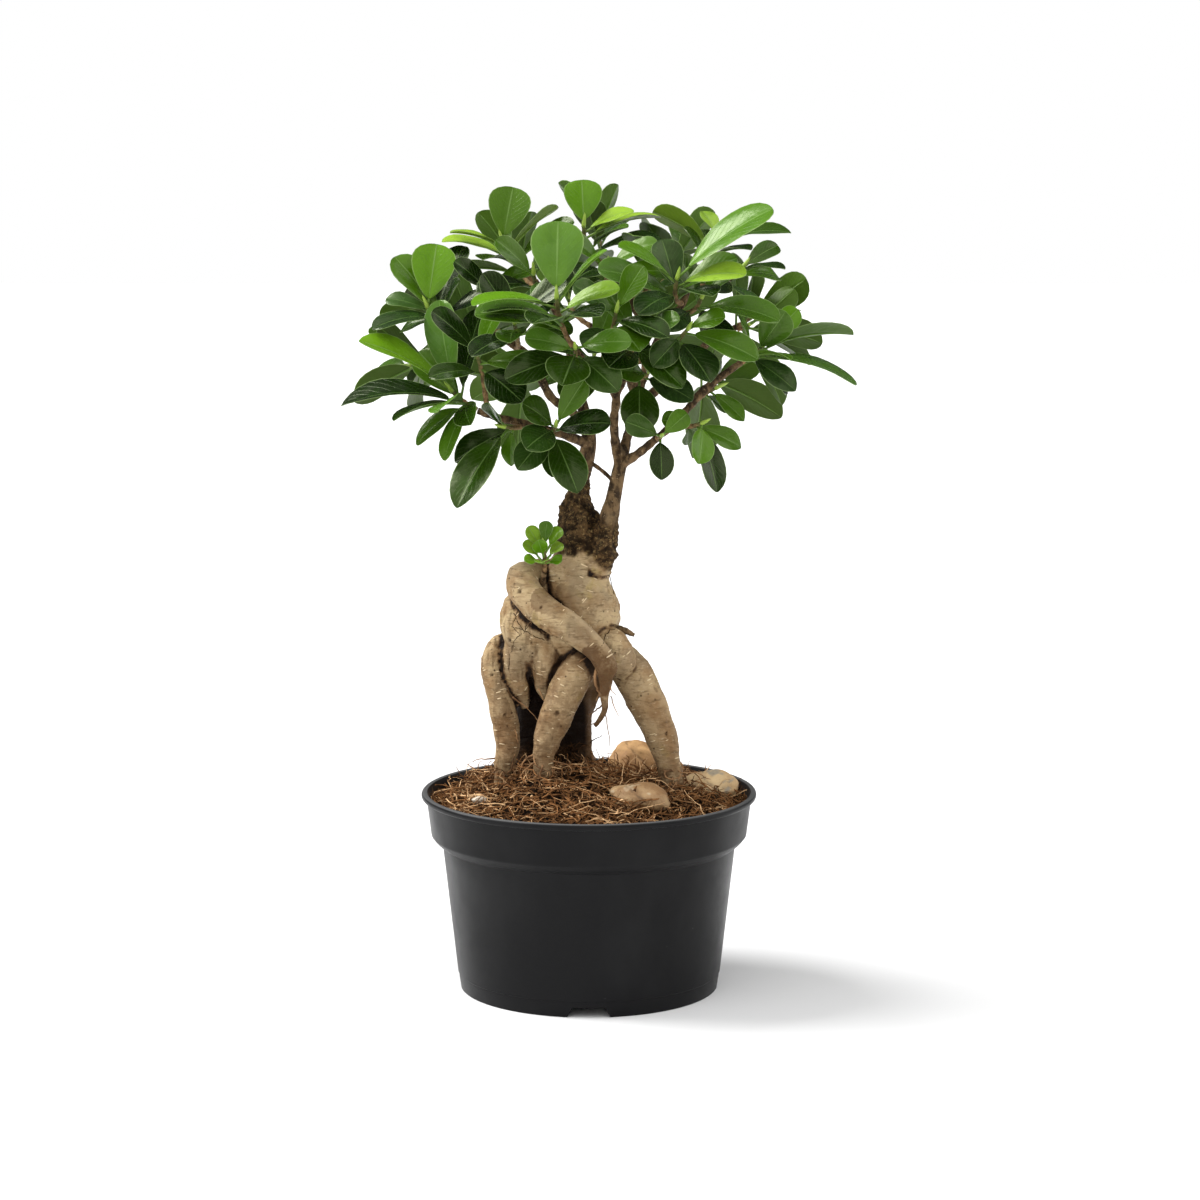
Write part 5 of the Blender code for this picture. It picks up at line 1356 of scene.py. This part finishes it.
def mark_bark(trunk, tree, rows):
    """Gives the trunk its relief and marks, paints shade into its recesses and a highlight onto its ridges,
    and finds the smooth bright places for lenticels.
    """
    surface = surface_of(trunk.data)
    directions = sphere_directions(SHADE_RAYS)
    zones, wear, ridge_highlights, moved, smooth_spots = [], [], [], [], []
    for place, even, vert in zip(places_of(trunk.data), evened_places(trunk), trunk.data.vertices):
        normal = vert.normal.copy()
        index = tree.find(place)[1]
        travelled, radius = rows[index][1:]
        height, graft, bough, furrow, crack = bark_relief(place, normal, travelled, radius)
        moved.extend(vert.co + normal * height * MM)
        shade, groove = shaded_share(surface, place, normal, directions)
        dip = (even - place).dot(normal)
        recess = depth_of_shade(place, normal, radius, dip, shade, groove, bough)
        # The hollow in the graft is painted dark as well: painted shade.
        hollow = graft * ramp(place.z, 258, 264) * (1 - ramp(abs(place.x - 4), 3, 6))
        hollow *= 1 - ramp(place.z, 279, 284)
        zones.append((graft * (1 - bough), bough, 0.6 * furrow))
        # Ridges that stand out get a painted highlight.
        ridge_highlights.append((ramp(-dip, 0.1, 0.5), 0.0, 0.0))
        # The first number is earth and darkening, the second painted shade, the third the darkened cracks.
        wear.append((earth_and_darkening_on(place), min(1, recess + hollow), crack))
        if graft < 0.05 and bough == 0 and place.z > 128 and recess < 0.25:
            smooth_spots.append((place + normal * height, normal, index))
    trunk.data.vertices.foreach_set("co", moved)
    trunk.data.update()
    for name, numbers in (("zone", zones), ("wear", wear), ("crest", ridge_highlights)):
        give_numbers(trunk, name, numbers)
    return smooth_spots


def make_fine_trunk():
    """The swollen roots with wrinkles, pits and cracks, the rough graft and the knotty boughs."""
    bark = bark_look()
    trunk = swollen_trunk(bark)
    tree, rows = route_tree()
    smooth_spots = mark_bark(trunk, tree, rows)
    boughs = Body()
    for stations in BOUGHS.values():
        route = []
        for k, row in enumerate(smooth_route(stations, 6)):
            knot = 1 + 0.09 * math.sin(k * 2.1) + 0.1 * noise.noise(Vector(row[:3]) / 6)
            route.append((*row[:3], row[3] * knot))
        boughs.take(*tube_mesh(route, 12), 0, (0.0, 1.0, 0.0))
    limbs = boughs.build("ficus_boughs", [bark])
    for numbers in ("wear", "crest"):
        give_numbers(limbs, numbers, [(0.0, 0.0, 0.0)] * len(limbs.data.vertices))
    rng = random.Random(29)
    dashes = Body()
    for place, normal, index in rng.sample(smooth_spots, LENTICELS):
        ahead = rows[min(index + 1, len(rows) - 1)][0] - rows[max(index - 1, 0)][0]
        along = normal.cross(ahead.normalized()).normalized()
        dashes.take(*lens(place, along, normal, rng.uniform(0.7, 1.9) ** 1.5, rng.uniform(0.24, 0.48)))
    enlist(trunk, "bark", "trunk")
    enlist(limbs, "bark")
    enlist(dashes.build("lenticels", [lenticel_look()]), "bark")
    cracks = Body()
    surface = surface_of(trunk.data)
    for line in CREASES:
        cracks.take(*tube_mesh(crack_stations(surface, line, rng), 6))
    dark = Look("crack", (0.03, 0.015, 0.007), 0.9, Specular_IOR_Level=0.1)
    enlist(cracks.build("bark_cracks", [dark.data]), "bark")


def trim(obj, z):
    """Removes what is below z and closes the cut."""
    bm = bmesh.new()
    bm.from_mesh(obj.data)
    everything = bm.verts[:] + bm.edges[:] + bm.faces[:]
    cut = bmesh.ops.bisect_plane(bm, geom=everything, plane_co=(0, 0, z * MM), plane_no=(0, 0, -1),
                                 clear_outer=True)
    rim = [item for item in cut["geom_cut"] if isinstance(item, bmesh.types.BMEdge)]
    bmesh.ops.holes_fill(bm, edges=rim, sides=0)
    bm.to_mesh(obj.data)
    bm.free()


def wander(rng, start, heading, length, steps, curl, level=0.0):
    """Stations of a thin strand that strays as it grows, drawn towards the level by the share given."""
    place, heading = Vector(start), Vector(heading).normalized()
    stations = [place.copy()]
    for _ in range(steps):
        stray = Vector((rng.gauss(0, 1), rng.gauss(0, 1), rng.gauss(0, 1) * (1 - level)))
        heading = (heading + stray * curl).normalized()
        heading.z *= 1 - level * 0.5
        place = place + heading * length / steps
        stations.append(place.copy())
    return stations


def strand(stations, thick, thin):
    last = len(stations) - 1
    return [(*p, thick + (thin - thick) * k / last) for k, p in enumerate(stations)]


def make_root_hairs(material):
    """Thin aerial roots round the arch, and hairs at the feet of the roots."""
    rng = random.Random(17)
    body = Body()
    for stations in HAIRS:
        route = smooth_route(stations, ROUTE_STEPS)
        route = [(x + rng.gauss(0, 0.15), y + rng.gauss(0, 0.15), z, r) for x, y, z, r in route]
        body.take(*tube_mesh(route, 6))
    for start, heading, length, thick in STRAY_HAIRS:
        body.take(*tube_mesh(strand(wander(rng, start, heading, length, 9, 0.2), thick, thick * 0.4), 5))
    for name in LEGS:
        x, y, z, radius = ROOTS[name][-3]
        for _ in range(HAIRS_AT_A_FOOT):
            turn = rng.uniform(0, 2 * math.pi)
            out = Vector((math.cos(turn), math.sin(turn), 0))
            start = Vector((x, y, soil_height(x, y) + rng.uniform(1, 13))) + out * radius * 0.85
            heading = out * rng.uniform(0.3, 1.0) + Vector((0, 0, -rng.uniform(0.2, 1.3)))
            stations = wander(rng, start, heading, rng.uniform(9, 24), 8, 0.3)
            for place in stations:
                place.z = max(place.z, soil_height(place.x, place.y) + rng.uniform(-0.6, 0.8))
            body.take(*tube_mesh(strand(stations, rng.uniform(0.35, 0.75), 0.2), 5))
    # The hairs in the shade between the legs get a darker copy of the hair colours: painted shade.
    for _ in range(HAIRS_IN_THE_SHADE):
        start = Vector((rng.uniform(-30, -8), rng.uniform(2, 24), rng.uniform(117, 138)))
        heading = Vector((rng.gauss(0, 1), rng.gauss(0, 0.5), rng.gauss(-0.4, 0.6)))
        stations = wander(rng, start, heading, rng.uniform(10, 26), 8, 0.3)
        body.take(*tube_mesh(strand(stations, rng.uniform(0.3, 0.6), 0.2), 4), 1)
    shaded = fibre_look("shaded_fibre", (0.012, 0.005, 0.002), (0.07, 0.032, 0.012))
    enlist(body.build("root_hairs", [material, shaded]), "bark")


def make_fine_soil(material):
    """The heaped soil as a fine crumbly surface with plain sides and a flat underside."""
    edge = COLLAR_TOP_RADIUS - WALL - GAP - 0.35
    points, faces = [Vector((0, 0, soil_height(0, 0)))], []
    for k in range(1, SOIL_RINGS + 1):
        radius = edge * k / SOIL_RINGS
        for j in range(SOIL_SIDES):
            turn = 2 * math.pi * j / SOIL_SIDES
            x, y = radius * math.cos(turn), radius * math.sin(turn)
            place = Vector((x, y, 0))
            crumbs = 2.2 * noise.noise(place / 6.5) + 1.3 * noise.noise(place / 2.6 + Vector((3, 0, 5)))
            lift = crumbs * (1 - ramp(radius, edge - 3, edge))
            points.append(Vector((x, y, soil_height(x, y) - 1.6 + lift)))
    for j in range(SOIL_SIDES):
        faces.append((0, 1 + j, 1 + (j + 1) % SOIL_SIDES))
    for k in range(SOIL_RINGS - 1):
        faces += ring_faces(1 + k * SOIL_SIDES, 1 + (k + 1) * SOIL_SIDES, SOIL_SIDES)
    top_faces = len(faces)
    ring = 1 + (SOIL_RINGS - 1) * SOIL_SIDES
    for radius, z in inside_wall():
        start = len(points)
        points += level_ring(radius, z, SOIL_SIDES)
        faces += ring_faces(ring, start, SOIL_SIDES)
        ring = start
    faces.append(tuple(ring + j for j in reversed(range(SOIL_SIDES))))
    soil = new_object("coir_soil", points, faces, [material])
    layer = soil.data.attributes.new("sown", "FLOAT", "FACE")
    layer.data.foreach_set("value", [1.0] * top_faces + [0.0] * (len(faces) - top_faces))
    return enlist(soil, "coir", "soil")


def inside_wall():
    gap = GAP + 0.1
    return [(COLLAR_LOW_RADIUS - WALL - gap, COLLAR_LOW_Z + 1.6), (WAIST_RADIUS - WALL - gap, WAIST_Z + 1.6),
            (FOOT_RADIUS - 0.7 - gap, BASE_TOP_Z + gap)]


def crumb_shapes():
    """A few broken lumps of peat and bark."""
    shapes = []
    for k in range(CRUMB_KINDS):
        bm = bmesh.new()
        bmesh.ops.create_icosphere(bm, subdivisions=1, radius=1)
        for vert in bm.verts:
            size = 1 + 0.5 * noise.noise(vert.co * 1.6 + Vector((k * 5, 0, 0)))
            vert.co = Vector((vert.co.x * size, vert.co.y * size * 0.8, vert.co.z * size * 0.6)) * 1.1 * MM
        mesh = bpy.data.meshes.new(f"crumb_shape_{k}")
        bm.to_mesh(mesh)
        bm.free()
        shapes.append(mesh)
    return shapes


def fibre_shapes(rng):
    """Curled coir fibres and dry roots, some flat and some that loop up from the soil."""
    shapes = []
    for k in range(FIBRE_KINDS):
        length = rng.uniform(8, 36)
        rise = 0.3 if k % 3 else 1.1
        stations = wander(rng, (0, 0, 0.3), (1, 0, rise * 0.6), length, 9, 0.42, 0.75 - rise * 0.5)
        middle = sum(stations, Vector()) / len(stations)
        stations = [p - Vector((middle.x, middle.y, 0)) for p in stations]
        points, faces = tube_mesh(strand(stations, rng.uniform(0.26, 0.58), 0.15), 4)
        mesh = bpy.data.meshes.new(f"fibre_shape_{k}")
        mesh.from_pydata([p * MM for p in points], [], faces)
        mesh.shade_smooth()
        shapes.append(mesh)
    return shapes


def scatter(name, ground, meshes, material):
    """Strews the shapes over the ground with geometry nodes and keeps the result as a plain mesh."""
    density, sizes, tilt, seed = STREWN[name]
    group = bpy.data.collections.new(f"{name}_shapes")
    for mesh in meshes:
        group.objects.link(bpy.data.objects.new(mesh.name, mesh))
    tree = bpy.data.node_groups.new(name, "GeometryNodeTree")
    tree.interface.new_socket(name="Ground", in_out="INPUT", socket_type="NodeSocketGeometry")
    amount = tree.interface.new_socket(name="Amount", in_out="INPUT", socket_type="NodeSocketFloat")
    tree.interface.new_socket(name="Result", in_out="OUTPUT", socket_type="NodeSocketGeometry")
    start = add_node(tree, "NodeGroupInput")
    sown = add_node(tree, "GeometryNodeInputNamedAttribute", {"data_type": "FLOAT"}, Name="sown")
    product = add_node(tree, "ShaderNodeMath", {"operation": "MULTIPLY"},
                       (start.outputs[1], sown.outputs["Attribute"]))
    spread = add_node(tree, "GeometryNodeDistributePointsOnFaces", Mesh=start.outputs[0],
                      Density=product.outputs[0], Seed=seed)
    source = add_node(tree, "GeometryNodeCollectionInfo", Collection=group, Separate_Children=True,
                      Reset_Children=True)
    turn = add_node(tree, "FunctionNodeRandomValue", {"data_type": "FLOAT_VECTOR"}, Min=(-tilt, -tilt, 0),
                    Max=(tilt, tilt, 2 * math.pi), Seed=seed + 1)
    size = add_node(tree, "FunctionNodeRandomValue", {"data_type": "FLOAT"}, Seed=seed + 2)
    size.inputs[2].default_value, size.inputs[3].default_value = sizes
    place = add_node(tree, "GeometryNodeInstanceOnPoints", Points=spread.outputs["Points"],
                     Instance=source.outputs[0], Pick_Instance=True, Rotation=turn.outputs["Value"],
                     Scale=size.outputs[1])
    real = add_node(tree, "GeometryNodeRealizeInstances", values=[place.outputs[0]])
    paint = add_node(tree, "GeometryNodeSetMaterial", values=[real.outputs[0]], Material=material)
    add_node(tree, "NodeGroupOutput", values=[paint.outputs[0]])
    obj = in_scene(name, ground.data.copy())
    strew = obj.modifiers.new("strew", "NODES")
    strew.node_group = tree
    strew[amount.identifier] = density
    apply_modifiers(obj)
    for shape in list(group.objects):
        bpy.data.objects.remove(shape, do_unlink=True)
    bpy.data.collections.remove(group)
    keep_inside(obj)
    return enlist(obj, "coir")


def keep_inside(obj):
    """Draws strewn bits in from the pot's wall and off the tops of the stones."""
    for vert in obj.data.vertices:
        place = (vert.co - CENTRE) / MM
        away = math.hypot(place.x, place.y)
        room = COLLAR_TOP_RADIUS - WALL - 0.6
        if away > room:
            place.x *= room / away
            place.y *= room / away
        for stone in STONES.values():
            offset = place - Vector(stone["at"])
            reach = Vector([offset[i] / (stone["size"][i] + 1.0) for i in range(3)])
            if 1e-6 < reach.length < 1:
                offset = offset / reach.length
                place = Vector(stone["at"]) + Vector((offset.x, offset.y, min(offset.z, 2.0)))
        vert.co = place * MM + CENTRE


def make_fine_stones():
    for name, stone in STONES.items():
        bm = bmesh.new()
        bmesh.ops.create_icosphere(bm, subdivisions=5 if name != "chip" else 3, radius=1)
        turn = Matrix.Rotation(math.radians(stone["turn"]), 3, "Z")
        sizes = Vector(stone["size"])
        points, zones = [], []
        for vert in bm.verts:
            wave = 1 + 0.22 * noise.noise(vert.co * 1.3 + Vector((stone["seed"], 0, 0)))
            wave += 0.035 * noise.noise(vert.co * 4 + Vector((stone["seed"], 5, 0)))
            crease = vert.co.x * 0.9 + vert.co.z * 0.5
            crease += 0.3 * noise.noise(vert.co * 2 + Vector((0, 0, 4))) - 0.25
            groove = 1 - ramp(abs(crease), 0.0, 0.07)
            shaped = Vector([vert.co[i] * sizes[i] * (wave - 0.045 * groove) for i in range(3)])
            points.append(turn @ shaped + Vector(stone["at"]))
            # The groove's share darkens the stone there, as painted shade.
            zones.append((groove * 0.6, 0.0, 0.0))
        faces = [[v.index for v in face.verts] for face in bm.faces]
        bm.free()
        title = f"pebble_{name.replace('stone_', '')}"
        obj = new_object(title, points, faces, [pebble_look(title, *STONE_COLOURS[name])])
        give_numbers(obj, "zone", zones)
        enlist(obj, "pebble", name)


def fine_pot_profile():
    """The pot's wall with rounded corners: up its outside, over the lip and down its inside."""
    outside = [(FOOT_RADIUS, 0.35), (FOOT_RADIUS + 0.1, 0.7), (FOOT_RADIUS + 1.02, 9.0),
               (FOOT_RADIUS + 1.45, 9.35), (WAIST_RADIUS - 0.05, WAIST_Z - 0.4),
               (WAIST_RADIUS + 0.3, WAIST_Z + 0.1)]
    step = Vector((COLLAR_LOW_RADIUS - WAIST_RADIUS, COLLAR_LOW_Z - WAIST_Z))
    for k in range(1, 8):
        t = k / 8
        sag = 0.7 * math.sin(math.pi * t)
        outside.append((WAIST_RADIUS + step.x * t + sag * 0.6, WAIST_Z + step.y * t - sag * 0.5))
    outside += [(COLLAR_LOW_RADIUS - 0.1, COLLAR_LOW_Z - 0.2), (COLLAR_LOW_RADIUS + 0.05, COLLAR_LOW_Z + 0.6),
                (COLLAR_TOP_RADIUS - 0.05, POT_HEIGHT - 5.0), (COLLAR_TOP_RADIUS + 0.3, POT_HEIGHT - 4.1)]
    lip_centre, lip_radius = Vector((RIM_RADIUS - 1.5, POT_HEIGHT - 1.9)), 1.5
    for k in range(9):
        turn = math.radians(-80 + 22.5 * k)
        outside.append((lip_centre.x + lip_radius * math.cos(turn),
                        lip_centre.y + (lip_radius + 0.35) * math.sin(turn)))
    inside = [(RIM_RADIUS - 3.2, POT_HEIGHT - 0.3), (COLLAR_TOP_RADIUS - WALL, POT_HEIGHT - 4.4),
              (COLLAR_LOW_RADIUS - WALL, COLLAR_LOW_Z + 1.2), (WAIST_RADIUS - WALL, WAIST_Z + 1.2),
              (FOOT_RADIUS - 0.6, BASE_TOP_Z), (0, BASE_TOP_Z), (0, BASE_LOW_Z),
              (FOOT_RADIUS - 1.2, BASE_LOW_Z), (FOOT_RADIUS - 1.7, 0.3), (FOOT_RADIUS - 1.5, 0),
              (FOOT_RADIUS - 0.4, 0)]
    return outside + inside


def make_fine_pot():
    material = pot_look()
    pot = new_object("nursery_pot", *turned_mesh(fine_pot_profile(), POT_SIDES), [material])
    tools = []
    for k in range(NOTCH_COUNT):
        turn = Matrix.Rotation(2 * math.pi * k / NOTCH_COUNT - math.pi / 2, 3, "Z")
        near, far = FOOT_RADIUS - 5, FOOT_RADIUS + 5
        top, low = NOTCH_TOP_WIDTH / 2, NOTCH_LOW_WIDTH / 2
        overrun = low + (low - top) / NOTCH_HEIGHT
        section = [(-overrun, -1), (overrun, -1), (top, NOTCH_HEIGHT), (-top, NOTCH_HEIGHT)]
        points = [turn @ Vector((r, y, z)) for r in (near, far) for y, z in section]
        sides = [(3, 2, 1, 0), (4, 5, 6, 7), (0, 1, 5, 4), (1, 2, 6, 5), (2, 3, 7, 6), (3, 0, 4, 7)]
        tools.append(new_object(f"notch_{k}", points, sides, [material], False))
    for k in range(DRAIN_COUNT):
        angle = 2 * math.pi * (k + 0.5) / DRAIN_COUNT
        x, y = DRAIN_CIRCLE * math.cos(angle), DRAIN_CIRCLE * math.sin(angle)
        stations = [(x, y, BASE_LOW_Z - 1, DRAIN_RADIUS), (x, y, BASE_TOP_Z + 1, DRAIN_RADIUS)]
        tools.append(new_object(f"drain_{k}", *tube_mesh(stations, 24), [material], False))
    group = bpy.data.collections.new("pot_tools")
    for tool in tools:
        bpy.context.scene.collection.objects.unlink(tool)
        group.objects.link(tool)
    cut = pot.modifiers.new("cut", "BOOLEAN")
    cut.operation = "DIFFERENCE"
    cut.operand_type = "COLLECTION"
    cut.collection = group
    apply_modifiers(pot)
    for tool in tools:
        bpy.data.objects.remove(tool, do_unlink=True)
    bpy.data.collections.remove(group)
    pot.data.shade_smooth()
    pot.data.set_sharp_from_angle(angle=math.radians(38))
    enlist(pot, "pot_plastic", "pot")


def make_stage():
    """A pale floor, a sky that is brightest in front, two soft suns and the photograph's camera."""
    corners = [(x * FLOOR_REACH, y * FLOOR_REACH, 0) for x, y in ((-1, -1), (1, -1), (1, 1), (-1, 1))]
    floor = new_object("floor", corners, [(0, 1, 2, 3)], [floor_look()], False)
    world = bpy.data.worlds.new("studio")
    bpy.context.scene.world = world
    world.use_nodes = True
    tree = world.node_tree
    direction = add_node(tree, "ShaderNodeTexCoord").outputs["Generated"]
    brightest = Vector((-0.25, -0.62, 0.75)).normalized()
    facing = add_node(tree, "ShaderNodeVectorMath", {"operation": "DOT_PRODUCT"}, (direction, brightest))
    softbox = add_node(tree, "ShaderNodeMapRange", {"interpolation_type": "SMOOTHSTEP"},
                       (facing.outputs["Value"], 0.25, 1.0, SKY_LIGHT, FRONT_LIGHT))
    seen = add_node(tree, "ShaderNodeLightPath").outputs["Is Camera Ray"]
    backdrop = add_node(tree, "ShaderNodeMix", Factor=seen, A=softbox.outputs[0], B=1.0)
    background = tree.nodes["Background"]
    feed(tree, background.inputs["Strength"], backdrop.outputs[0])
    background.inputs["Color"].default_value = (1, 1, 1, 1)
    for name, (place, spread, power) in SUNS.items():
        light = bpy.data.lights.new(name, "SUN")
        light.angle = math.radians(spread)
        light.energy = power
        in_scene(name, light).rotation_euler = (-Vector(place)).to_track_quat("-Z", "Y").to_euler()
    camera = bpy.data.cameras.new("camera")
    camera.lens = CAMERA_LENS
    camera.sensor_width = CAMERA_SENSOR
    eye = in_scene("camera", camera)
    eye.location = Vector(CAMERA_PLACE) * MM + CENTRE
    eye.rotation_euler = (math.radians(90 - CAMERA_PITCH), 0, 0)
    bpy.context.scene.camera = eye
    bpy.context.scene.view_settings.view_transform = "Standard"


def main():
    make_fine_pot()
    soil = make_fine_soil(soil_look())
    fibres = fibre_look("coir_fibre", (0.03, 0.012, 0.004), (0.24, 0.11, 0.04))
    pale_fibres = fibre_look("pale_fibre", (0.22, 0.105, 0.04), (0.72, 0.46, 0.24))
    scatter("coir_crumbs", soil, crumb_shapes(), crumb_look())
    shapes = fibre_shapes(random.Random(41))
    scatter("coir_fibres", soil, shapes, fibres)
    scatter("pale_fibres", soil, shapes, pale_fibres)
    make_fine_stones()
    make_fine_trunk()
    make_root_hairs(fibre_look("root_hair", (0.1, 0.05, 0.024), (0.34, 0.19, 0.09)))
    make_fine_shoots()
    make_stage()


main()
